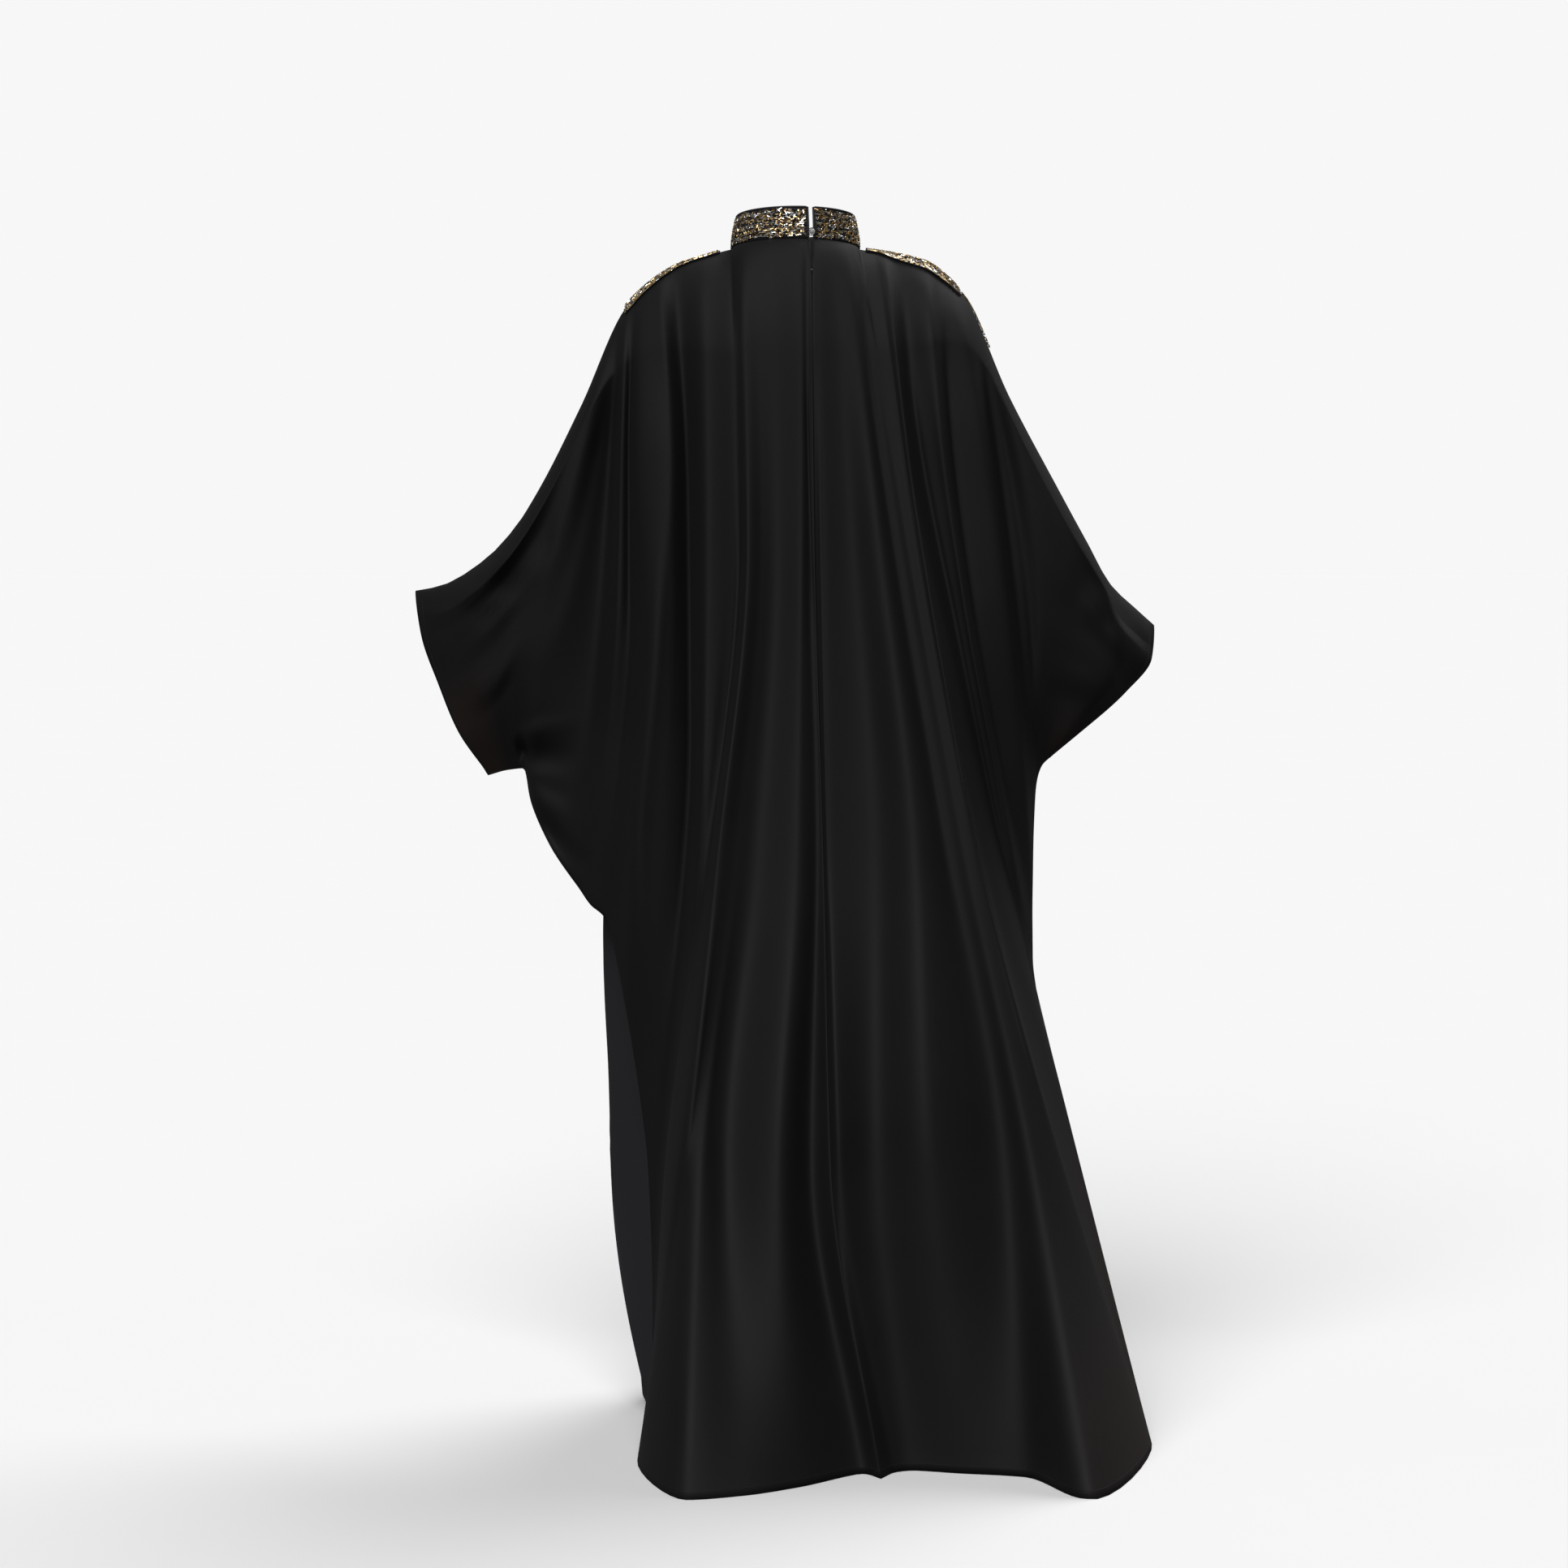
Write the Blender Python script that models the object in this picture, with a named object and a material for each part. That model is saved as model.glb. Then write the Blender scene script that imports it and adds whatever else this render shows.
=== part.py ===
"""A full-length batwing kaftan in its worn, hollow form: two back panels, a front, a beaded stand collar
that closes at the centre back with a bead and a thread loop, and a beaded band over each shoulder.

The origin is the centre of the neck at the collar seam. The front faces -Y, the wearer's left is +X.
Each panel is a grid of lines that run down the cloth, one along each main fold, and of rows across them.
"""

import math
from collections import namedtuple

import bmesh
import bpy
from mathutils import Vector

# Sizes in metres
FLOOR = -1.465          # the ground under the collar seam, where the train lies
FRONT_HEM = -1.455      # the front hem hangs just clear of the ground
CLOTH = 0.002           # wall of a panel, its doubled edges included
SEAM_GAP = 0.0003       # between two panels at a seam
NECK_WIDE = 0.078       # half width of the neck ring
NECK_DEEP = 0.060       # half depth of the neck ring
NECK_RISE_BACK = 0.010  # the ring's back stands this far above its sides
NECK_FALL_FRONT = 0.022  # and its front this far below them
COLLAR_HEIGHT = 0.038
COLLAR_WALL = 0.0024
COLLAR_LEAN = 0.006     # how far the top of the collar leans in
COLLAR_SWELL = 0.001    # how far it swells out at mid height
COLLAR_END_GAP = 0.0035  # from the centre seam to each end of the collar
SLIT_LENGTH = 0.042     # keyhole slit below the collar
SLIT_HALF = 0.0045      # half its width at the collar
TRIM_WALL = 0.0026      # beaded band
TRIM_CLEAR = 0.0006     # band above the panels
TRIM_PAST = 0.004       # how far it runs past the shoulder point
TRIM_NARROW = 0.15      # its reach onto the back at the neck, as a share of its reach at the shoulder point
BUTTON_RADIUS = 0.004
BUTTON_SIDES = 12
BUTTON_RINGS = 7
BUTTON_HEIGHT = 0.008   # its centre above the collar seam
BUTTON_SIDE = 0.001     # its centre beside the centre seam
BUTTON_OUT = 0.0029     # and out from the neck ring, so that it lies on the collar's ends
LOOP_THREAD = 0.0005    # radius of the loop's thread
LOOP_RADIUS = 0.0046
LOOP_STRETCH = 1.15     # how much wider than high the loop is
LOOP_OUT = 0.0012       # the loop lies flat on the collar
LOOP_REACH = 0.0080     # from the bead's centre to where the loop is sewn on
LOOP_MOUTH = math.radians(35)   # half the angle at which it is open
LOOP_FEET = 0.0015      # height of each end above or below the bead's centre
LOOP_POINTS = 15

BLACK = (0.012, 0.012, 0.014, 1.0)
GOLD = (0.42, 0.31, 0.16, 1.0)
CLEAR = (0.75, 0.74, 0.72, 1.0)

# A line down a panel. strips is the number of strips up to the next line. The x values stand at the top
# edge and at each quarter of the drop, and end_z is where the line ends. start is how far the fold already
# stands out at the shoulder. The y values are the back's depth at each quarter and at the end. bow and
# bulge are how far the front's own line stands out, sideways and forwards, at mid drop.
Line = namedtuple("Line", "name strips top upper middle lower end end_z start "
                          "y_upper y_middle y_lower y_end bow bulge")

LEFT = (
    Line("centre_seam", 1, -.019, -.023, -.033, -.041, -.100, FLOOR, .000, .130, .172, .250, .300, .000, .02),
    Line("seam_tuck", 1, -.013, -.016, -.025, -.018, -.078, FLOOR, -.002, .128, .168, .224, .275, .010, .02),
    Line("seam_ridge", 2, -.004, -.006, -.001, .021, -.004, FLOOR, .002, .136, .186, .276, .342, .015, .03),
    Line("soft_hollow", 2, .025, .022, .044, .080, .062, FLOOR, -.002, .124, .168, .248, .385, .020, .04),
    Line("lobe", 2, .045, .040, .070, .112, .127, FLOOR, .000, .130, .180, .270, .405, .035, .05),
    Line("long_ridge", 2, .064, .057, .092, .136, .190, FLOOR, .004, .142, .196, .255, .205, .045, .07),
    Line("ridge_foot", 2, .078, .071, .105, .156, .180, FLOOR, -.004, .112, .140, .165, -.020, .080, .09),
    Line("inner_ridge", 2, .109, .104, .112, .142, .178, -1.300, .004, .120, .135, .115, .000, .078, .10),
    Line("deep_valley", 2, .144, .131, .129, .147, .182, -1.150, -.020, .084, .090, .075, .020, .070, .10),
    Line("side_ridge", 2, .167, .151, .164, .190, .208, -.945, .006, .112, .122, .100, .040, .030, .09),
    Line("underarm", 1, .187, .190, .186, .202, .235, -.830, .002, .092, .098, .075, .020, .010, .06),
    Line("arm_hollow", 1, .197, .202, .202, .217, .253, -.815, -.004, .068, .070, .050, .010, .000, .05),
    Line("arm_ridge", 2, .206, .211, .215, .230, .268, -.795, .000, .072, .074, .050, .000, .000, .04),
    Line("sleeve_fold", 2, .216, .227, .239, .258, .304, -.745, -.010, .032, .024, .010, -.020, .000, .03),
    Line("sleeve_back", 2, .240, .262, .289, .315, .329, -.690, .000, .057, .045, .015, -.035, .000, .02),
    Line("sleeve_lobe", 2, .289, .308, .335, .350, .339, -.650, .000, .045, .030, -.005, -.050, .000, .02),
    Line("cuff_fold", 2, .371, .388, .392, .382, .360, -.653, .000, .012, .000, -.026, -.065, .000, .015),
    Line("cuff", 0, .478, .468, .447, .423, .385, -.661, .000, -.086, -.078, -.074, -.090, .000, .01),
)
RIGHT = (
    LEFT[0]._replace(strips=1),
    Line("seam_ridge", 2, -.027, -.034, -.041, -.052, -.118, FLOOR, .000, .135, .178, .262, .267, .000, .02),
    Line("soft_hollow", 2, -.041, -.067, -.092, -.095, -.140, FLOOR, -.002, .125, .166, .236, .258, .000, .03),
    Line("bright_ridge", 2, -.059, -.099, -.142, -.158, -.192, FLOOR, .002, .142, .194, .270, .272, .000, .04),
    Line("long_hollow", 2, -.069, -.123, -.184, -.246, -.271, FLOOR, -.002, .127, .166, .216, .292, .015, .05),
    Line("train_lobe", 2, -.078, -.136, -.203, -.280, -.336, FLOOR, .000, .132, .172, .240, .400, .035, .06),
    Line("train_corner", 3, -.094, -.147, -.218, -.318, -.435, FLOOR, .000, .128, .162, .190, .115, .045, .08),
    Line("side_ridge", 1, -.107, -.137, -.182, -.238, -.326, -1.037, .006, .120, .138, .120, .060, .005, .09),
    Line("sharp_valley", 2, -.123, -.152, -.197, -.244, -.298, -.925, -.012, .098, .100, .068, .030, .000, .08),
    Line("blade_ridge", 1, -.157, -.176, -.206, -.248, -.293, -.878, .004, .106, .106, .075, .020, .000, .06),
    Line("fine_valley", 2, -.175, -.189, -.215, -.251, -.293, -.830, -.006, .084, .084, .055, .010, .000, .05),
    Line("arm_ridge", 2, -.199, -.225, -.251, -.273, -.294, -.775, .002, .078, .074, .045, .000, .000, .03),
    Line("sleeve_fold", 2, -.222, -.247, -.268, -.284, -.296, -.725, -.008, .042, .036, .018, -.020, .000, .03),
    Line("sleeve_back", 2, -.255, -.281, -.296, -.297, -.2990, -.674, .000, .047, .035, .010, -.030, .000, .03),
    Line("sleeve_lobe", 2, -.317, -.334, -.344, -.324, -.3025, -.656, .000, .034, .018, -.008, -.035, .000, .025),
    Line("cuff_fold", 2, -.380, -.393, -.389, -.348, -.3070, -.6455, .000, .006, -.004, -.018, -.039, .000, .015),
    Line("cuff", 0, -.452, -.446, -.412, -.362, -.312, -.640, .000, -.078, -.066, -.040, -.042, .000, .01),
)
SIDES = {"left": LEFT, "right": RIGHT}
SIGNS = {"left": 1, "right": -1}
NECK_LINE = {"left": 6, "right": 5}   # the line that starts where the shoulder seam meets the collar
HEM_LINE = {"left": 6, "right": 6}    # the line that ends where the side seam meets the hem
FOLLOWS = (5, 8)        # lines past that one between which the front comes to follow the back's lines
TRAIN_LINES = (5, 6)    # the lines at the right that end at the train's lobe and corner

# The top seam, from the neck along the shoulder and arm to the wrist. back and front are how deep the cloth
# stands once it has rounded over, and drop is how far down that is.
Top = namedtuple("Top", "name x y z back front drop")
TOP_LEFT = (
    Top("centre", -.019, .060, .000, .118, -.100, .130),
    Top("neck", .078, .000, -.010, .104, -.088, .125),
    Top("shoulder", .109, .006, -.019, .102, -.084, .115),
    Top("slope", .144, .010, -.031, .096, -.076, .100),
    Top("shoulder_point", .206, .012, -.080, .068, -.052, .070),
    Top("upper_arm", .262, .012, -.200, .060, -.040, .055),
    Top("arm", .313, .008, -.300, .056, -.044, .050),
    Top("elbow", .345, .000, -.350, .048, -.052, .045),
    Top("forearm", .386, -.025, -.391, .018, -.072, .040),
    Top("lower_arm", .443, -.080, -.423, -.046, -.118, .034),
    Top("wrist", .478, -.120, -.430, -.092, -.150, .028),
)
TOP_RIGHT = (
    Top("centre", -.019, .060, .000, .118, -.100, .130),
    Top("neck", -.078, .000, -.010, .104, -.088, .125),
    Top("shoulder", -.122, -.002, -.017, .100, -.084, .115),
    Top("slope", -.157, -.008, -.025, .094, -.080, .100),
    Top("shoulder_point", -.206, -.014, -.066, .066, -.060, .070),
    Top("upper_arm", -.262, -.016, -.187, .052, -.056, .055),
    Top("arm", -.316, -.016, -.288, .042, -.062, .050),
    Top("elbow", -.358, -.030, -.363, .030, -.074, .045),
    Top("forearm", -.394, -.070, -.422, -.025, -.104, .040),
    Top("lower_arm", -.425, -.095, -.450, -.060, -.126, .034),
    Top("wrist", -.452, -.120, -.473, -.085, -.148, .028),
)
TOPS = {"left": TOP_LEFT, "right": TOP_RIGHT}

# The front hem from the centre front out to the side seam, on each side.
FRONT_HEMS = {
    "left": ((-.010, -.245), (.060, -.250), (.130, -.225), (.195, -.150), (.180, -.020)),
    "right": ((-.010, -.245), (-.110, -.255), (-.220, -.230), (-.340, -.130), (-.435, .115)),
}

# Hanging folds of the front. top and end say which line they follow there, in lines from the centre.
FrontFold = namedtuple("FrontFold", "name side top end width depth begins")
FRONT_FOLDS = (
    FrontFold("centre_hollow", "left", 0.4, 0.6, 0.8, -.014, .10),
    FrontFold("bust_ridge", "left", 3.6, 2.4, 1.1, .022, .06),
    FrontFold("hip_hollow", "left", 5.6, 4.4, 1.0, -.020, .12),
    FrontFold("shoulder_ridge", "left", 8.2, 6.6, 0.9, .014, .04),
    FrontFold("arm_hollow", "left", 11.0, 11.4, 1.2, -.024, .03),
    FrontFold("centre_ridge", "right", 1.5, 1.3, 0.9, .016, .12),
    FrontFold("bust_hollow", "right", 3.2, 2.6, 0.9, -.018, .08),
    FrontFold("hip_ridge", "right", 4.9, 4.1, 1.1, .022, .05),
    FrontFold("side_hollow", "right", 6.6, 5.5, 0.8, -.018, .10),
    FrontFold("arm_hollow", "right", 10.4, 10.8, 1.2, -.022, .03),
)

# Rows down a panel: shares of the rounding drop at the top, then even steps to the end.
TOP_ROWS = (0.0, 0.15, SLIT_LENGTH / TOP_LEFT[0].drop, 0.62, 1.0)
LOWER_ROWS = 17

# The tuck where the left sleeve's lower edge folds in behind itself.
TUCK_DEPTH = 0.016
TUCK_REACH = 2.4        # lines that it runs in from the seam
TUCK_WIDTH = 0.075      # share of the drop
TUCK_LOW = 0.97         # share of the drop at the seam
TUCK_RISE = 0.16        # how much higher it ends
SEAM_ROUND = 0.005      # how far the cloth rounds out beside the side and under-sleeve seams
TRAIN_ROUND = 0.030     # how far the train's hem rounds out between its lobe and its corner

# How the cloth comes off the shoulder, in shares of the drop
MOST_ROUNDED = 0.2      # the rounding ends by here on short lines
ROUND_SHARE = 0.75      # share of a circle in the rounding, the rest is straight
FOLD_GROWS = 0.35       # a front fold grows to its full depth over this share
BULGE_HIGH = 0.7        # below 1 the front's bulge lies above mid drop
BULGE_BLUNT = 0.8       # below 1 it is blunter than a sine


def smooth(edge0, edge1, value):
    """Rises from 0 to 1 between two edges."""
    share = min(max((value - edge0) / (edge1 - edge0), 0.0), 1.0)
    return share * share * (3 - 2 * share)


def curve(places, values, at):
    """A smooth curve through values that never overshoots them."""
    count = len(places)
    i = 0
    while i < count - 2 and (at - places[i + 1]) * (places[-1] - places[0]) > 0:
        i += 1

    def step(k):
        return (values[k + 1] - values[k]) / (places[k + 1] - places[k])

    def slope(k):
        if k in (0, count - 1):
            return step(min(k, count - 2))
        before, after = step(k - 1), step(k)
        return 0.0 if before * after <= 0 else 2 * before * after / (before + after)

    width = places[i + 1] - places[i]
    t = min(max((at - places[i]) / width, 0.0), 1.0)
    low = (1 + 2 * t) * (1 - t) ** 2 * values[i] + t * (1 - t) ** 2 * width * slope(i)
    high = t * t * (3 - 2 * t) * values[i + 1] - t * t * (1 - t) * width * slope(i + 1)
    return low + high


def across(side, at, read):
    """The value that read() gives for a line, taken smoothly between lines."""
    lines = SIDES[side]
    first = min(max(int(at) - 1, 0), len(lines) - 1)
    last = min(int(at) + 3, len(lines))
    places = list(range(first, last))
    if len(places) == 1:
        return read(lines[places[0]])
    return curve(places, [read(lines[k]) for k in places], at)


def top_value(side, x, field):
    """A field of the top seam's table at x."""
    rows = TOPS[side]
    return curve([row.x for row in rows], [getattr(row, field) for row in rows], x)


def neck_height(y):
    """Height of the neck ring at a depth."""
    rise = NECK_RISE_BACK if y > 0 else NECK_FALL_FRONT
    return -NECK_RISE_BACK + rise * y / NECK_DEEP


def neck_depth(x):
    """Depth of the neck ring's back half at x."""
    return NECK_DEEP * math.sqrt(max(1 - (x / NECK_WIDE) ** 2, 0))


def top_point(side, face, at):
    """Where a line starts: on the neck ring, or on the shoulder and arm seam."""
    x = across(side, at, lambda line: line.top)
    if at < NECK_LINE[side]:
        if face == "front":
            turn = math.pi / 2 * at / NECK_LINE[side]
            x = SIGNS[side] * NECK_WIDE * math.sin(turn)
            y = -NECK_DEEP * math.cos(turn)
        else:
            y = neck_depth(x)
        return x, y, neck_height(y)
    return x, top_value(side, x, "y"), top_value(side, x, "z")


def end_point(side, face, at):
    """Where a line ends: on the hem, or on the side and under-sleeve seam."""
    if face == "front" and at < HEM_LINE[side]:
        corners = FRONT_HEMS[side]
        share = at / HEM_LINE[side]
        places = [k / (len(corners) - 1) for k in range(len(corners))]
        x = curve(places, [corner[0] for corner in corners], share)
        y = curve(places, [corner[1] for corner in corners], share)
        return x, y, FRONT_HEM + (FLOOR - FRONT_HEM) * smooth(0.8, 1.0, share)
    x, y, z = (across(side, at, lambda line: getattr(line, field)) for field in ("end", "y_end", "end_z"))
    lobe, corner = TRAIN_LINES
    if side == "right" and lobe < at < corner:
        y += TRAIN_ROUND * math.sin(math.pi * (at - lobe) / (corner - lobe))
    return x, y, z


def rounding(share):
    """How far the cloth has rounded over the shoulder or arm, from 0 at the seam to 1."""
    return math.sqrt(max(1 - (1 - share) ** 2, 0)) * ROUND_SHARE + share * (1 - ROUND_SHARE)


def panel_point(side, face, at, v):
    """A point of a panel's outer face. at counts lines from the centre, v is the share of the drop."""
    x0, y0, z0 = top_point(side, face, at)
    x1, y1, z1 = end_point(side, face, at)
    z = z0 + (z1 - z0) * v
    seam_x = across(side, at, lambda line: line.top)
    drop = top_value(side, seam_x, "drop") / (z0 - z1)
    if face == "back":
        quarters = [across(side, at, lambda line: getattr(line, field)) for field in ("upper", "middle", "lower")]
        depths = [across(side, at, lambda line: getattr(line, field))
                  for field in ("y_upper", "y_middle", "y_lower")]
        x = curve([0, .25, .5, .75, 1], [x0, *quarters, x1], v)
        start = top_value(side, seam_x, "back") + across(side, at, lambda line: line.start)
        begin = min(drop, MOST_ROUNDED)
        if v < begin:
            y = y0 + (start - y0) * rounding(v / begin)
        else:
            y = curve([begin, .25, .5, .75, 1], [start, *depths, y1], v)
        return Vector((x, y + tuck(side, at, v) + seam_round(side, at, v), z))
    bow = across(side, at, lambda line: line.bow)
    bulge = across(side, at, lambda line: line.bulge)
    x = x0 + (x1 - x0) * v + bow * math.sin(math.pi * v ** 2)
    follows = smooth(HEM_LINE[side] + FOLLOWS[0], HEM_LINE[side] + FOLLOWS[1], at)
    shared = [across(side, at, lambda line: getattr(line, field)) for field in ("upper", "middle", "lower")]
    x += follows * (curve([0, .25, .5, .75, 1], [x0, *shared, x1], v) - x)
    start = top_value(side, seam_x, "front")
    if v < drop:
        y = y0 + (start - y0) * rounding(v / drop)
    else:
        y = start + (y1 - start) * (v - drop) / (1 - drop)
    y -= bulge * math.sin(math.pi * v ** BULGE_HIGH) ** BULGE_BLUNT * smooth(0, MOST_ROUNDED, v)
    return Vector((x, y - front_relief(side, at, v) + tuck(side, at, v) - seam_round(side, at, v), z))


def seam_round(side, at, v):
    """How far the cloth rounds out just beside the side and under-sleeve seams."""
    lines = len(SIDES[side])
    near = smooth(HEM_LINE[side] - 1, HEM_LINE[side], at) * smooth(lines - 1, lines - 4, at)
    return SEAM_ROUND * near * math.sqrt(max(1 - v ** 8, 0)) * smooth(0, 0.3, v)


def front_relief(side, at, v):
    """How far the front's folds stand forward at a point."""
    total = 0.0
    for fold in FRONT_FOLDS:
        if fold.side != side:
            continue
        centre = fold.top + (fold.end - fold.top) * v
        off = abs(at - centre) / fold.width
        if off < 1:
            total += fold.depth * (1 - smooth(0, 1, off)) * smooth(fold.begins, fold.begins + FOLD_GROWS, v)
    if at > HEM_LINE[side] - 1:
        total *= 1 - v ** 3
    return total


def tuck(side, at, v):
    """The left sleeve's tuck, a trough that runs in and up from the seam."""
    if side != "left":
        return 0.0
    seam_line = len(LEFT) - 3
    inward = (seam_line + 0.3 - at) / TUCK_REACH
    if not 0 <= inward <= 1:
        return 0.0
    centre = TUCK_LOW - TUCK_RISE * inward
    off = abs(v - centre) / TUCK_WIDTH
    fade = (1 - inward) * smooth(0, 0.1, inward) * smooth(1, 0.9, v)
    return -TUCK_DEPTH * (1 - smooth(0, 1, off)) * fade


def columns(side):
    """Where a panel's columns stand, in lines from the centre."""
    places = [0.0]
    for k, line in enumerate(SIDES[side]):
        places += [k + (j + 1) / line.strips for j in range(line.strips)]
    return places


def row_shares(side, face, at):
    """The shares of the drop at which a column has its rows."""
    z0 = top_point(side, face, at)[2]
    z1 = end_point(side, face, at)[2]
    seam_x = across(side, at, lambda line: line.top)
    rounded = min(top_value(side, seam_x, "drop") / (z0 - z1), MOST_ROUNDED)
    shares = [share * rounded for share in TOP_ROWS]
    return shares + [rounded + (1 - rounded) * (k + 1) / LOWER_ROWS for k in range(LOWER_ROWS)]


def half_grid(side, face):
    """The outer points of one half panel, column by column from the centre."""
    return [[panel_point(side, face, at, v) for v in row_shares(side, face, at)] for at in columns(side)]


def grid_normals(grid, outward):
    """The normal at each point of a grid, turned to the side that outward names."""
    wide, tall = len(grid), len(grid[0])
    normals = [[Vector((0, 0, 0)) for j in range(tall)] for i in range(wide)]
    for i in range(wide - 1):
        for j in range(tall - 1):
            corners = ((i, j), (i + 1, j), (i + 1, j + 1), (i, j + 1))
            a, b, c, d = (grid[m][n] for m, n in corners)
            facing = (c - a).cross(d - b).normalized() * outward
            for m, n in corners:
                normals[m][n] += facing
    return [[normal.normalized() for normal in column] for column in normals]


def share_normals(first, second):
    """Gives two points that meet at a seam the same normal."""
    both = (first + second).normalized()
    return both.copy(), both


def material(name, colour, roughness, metallic=0.0, transmission=0.0):
    """A plain material of the part's own colour."""
    made = bpy.data.materials.new(name)
    made.use_nodes = True
    shader = made.node_tree.nodes["Principled BSDF"]
    shader.inputs["Base Color"].default_value = colour
    shader.inputs["Roughness"].default_value = roughness
    shader.inputs["Metallic"].default_value = metallic
    shader.inputs["Transmission Weight"].default_value = transmission
    return made


def add_object(name, bm, finish):
    """Makes an object of a finished bmesh."""
    mesh = bpy.data.meshes.new(name)
    bm.to_mesh(mesh)
    bm.free()
    made = bpy.data.objects.new(name, mesh)
    bpy.context.scene.collection.objects.link(made)
    mesh.materials.append(finish)
    mesh.shade_smooth()
    return made


def wall(name, outer, inner, finish):
    """A closed wall: a flat grid is extruded, then its two faces are laid on two grids of points."""
    wide, tall = len(outer), len(outer[0])
    bm = bmesh.new()
    sheet = bmesh.ops.create_grid(bm, x_segments=wide - 1, y_segments=tall - 1, size=0.5)["verts"]
    lifted = bmesh.ops.extrude_face_region(bm, geom=bm.faces[:], use_keep_orig=True)["geom"]
    lifted = [item for item in lifted if isinstance(item, bmesh.types.BMVert)]
    for verts, grid in ((sheet, outer), (lifted, inner)):
        verts.sort(key=lambda vert: (round((vert.co.x + 0.5) * (wide - 1)),
                                     -round((vert.co.y + 0.5) * (tall - 1))))
        for k, vert in enumerate(verts):
            vert.co = grid[k // tall][k % tall]
    if bm.calc_volume(signed=True) < 0:
        bmesh.ops.reverse_faces(bm, faces=bm.faces)
    bmesh.ops.triangulate(bm, faces=bm.faces)
    return add_object(name, bm, finish)


def inside(grid, normals, thickness):
    """The points that lie one wall's thickness in from a grid."""
    return [[point - normal * thickness for point, normal in zip(points, row)]
            for points, row in zip(grid, normals)]


def opened_centre(side, point):
    """Moves a point of the centre-back seam out to its panel's edge, and to the slit's edge at the top."""
    gap = SEAM_GAP / 2 + SLIT_HALF * max(1 + point.z / SLIT_LENGTH, 0)
    return point + Vector((SIGNS[side] * gap, 0, 0))


def panel_grids():
    """The outer points and normals of the four half panels, with their seams parted and their normals shared."""
    grids, normals = {}, {}
    for side, turn in SIGNS.items():
        for face, facing in (("back", 1), ("front", -1)):
            grids[side, face] = half_grid(side, face)
            normals[side, face] = grid_normals(grids[side, face], turn * facing)
    for side in SIDES:
        back, front = normals[side, "back"], normals[side, "front"]
        for i, at in enumerate(columns(side)):
            if at >= NECK_LINE[side]:
                back[i][0], front[i][0] = share_normals(back[i][0], front[i][0])
                grids[side, "back"][i][0].y += SEAM_GAP / 2
                grids[side, "front"][i][0].y -= SEAM_GAP / 2
            if at >= HEM_LINE[side]:
                back[i][-1], front[i][-1] = share_normals(back[i][-1], front[i][-1])
                grids[side, "back"][i][-1].y += SEAM_GAP / 2
                grids[side, "front"][i][-1].y -= SEAM_GAP / 2
    for face in ("back", "front"):
        left, right = normals["left", face][0], normals["right", face][0]
        for j in range(len(left)):
            left[j], right[j] = share_normals(left[j], right[j])
    return grids, normals


def make_panels(grids, normals, black):
    """Two back panels, and a front cut in one piece."""
    for side in SIDES:
        outer = [list(column) for column in grids[side, "back"]]
        outer[0] = [opened_centre(side, point) for point in outer[0]]
        wall(f"back_{side}", outer, inside(outer, normals[side, "back"], CLOTH), black)
    outer = grids["right", "front"][:0:-1] + grids["left", "front"]
    facing = normals["right", "front"][:0:-1] + normals["left", "front"]
    wall("front", outer, inside(outer, facing, CLOTH), black)


def collar_ring(grids):
    """The neck seam's points from the left end of the collar, round the front, to the right end."""
    ring = []
    for side in ("left", "right"):
        count = sum(at <= NECK_LINE[side] for at in columns(side))
        back = [grids[side, "back"][i][0] for i in range(count - 1)]
        front = [grids[side, "front"][i][0] for i in range(count - 1, -1, -1)]
        half = [point.copy() for point in back + front]
        half[0].x += SIGNS[side] * COLLAR_END_GAP
        for point in half:
            if abs(point.y) < SEAM_GAP:
                point.y = 0
        ring.append(half)
    return ring[0] + ring[1][-2::-1]


def make_collar(grids, finish):
    """The stand collar, a band that leans in a little and stays open at the centre back."""
    outer, inner = [], []
    for base in collar_ring(grids):
        out = Vector((base.x / NECK_WIDE ** 2, base.y / NECK_DEEP ** 2, 0)).normalized()
        low = base + Vector((0, 0, SEAM_GAP))
        high = low + Vector((0, 0, COLLAR_HEIGHT)) - out * COLLAR_LEAN
        middle = (low + high) / 2 + out * COLLAR_SWELL
        outer.append([high, middle, low])
        inner.append([point - out * COLLAR_WALL for point in (high, middle, low)])
    return wall("collar", outer, inner, finish)


def make_shoulder_trim(side, grids, normals, finish):
    """The beaded band over one shoulder seam, made from the panels' points moved out."""
    places = columns(side)
    first = next(i for i, at in enumerate(places) if at >= NECK_LINE[side] + 0.5)
    shoulder = next(abs(row.x) for row in TOPS[side] if row.name == "shoulder_point")
    last = max(i for i, at in enumerate(places) if abs(top_point(side, "back", at)[0]) <= shoulder + TRIM_PAST)
    outer, inner = [], []
    for i in range(first, last + 1):
        share = (i - first) / (last - first)
        back, front = grids[side, "back"][i], grids[side, "front"][i]
        back_n, front_n = normals[side, "back"][i], normals[side, "front"][i]
        reach = TRIM_NARROW + (1 - TRIM_NARROW) * smooth(0.1, 0.9, share)
        edge = back[0].lerp(back[1], reach)
        points = [edge, (back[0] + front[0]) / 2, front[1], front[2]]
        facing = [back_n[0].lerp(back_n[1], reach).normalized(), back_n[0], front_n[1], front_n[2]]
        outer.append([p + n * (TRIM_CLEAR + TRIM_WALL) for p, n in zip(points, facing)])
        inner.append([p + n * TRIM_CLEAR for p, n in zip(points, facing)])
    return wall(f"shoulder_trim_{side}", outer, inner, finish)


def bead_centre():
    """The centre of the bead that closes the collar, on the collar's outer face at the centre back."""
    x = LEFT[0].top
    return Vector((x - BUTTON_SIDE, neck_depth(x) + BUTTON_OUT, BUTTON_HEIGHT))


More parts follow.
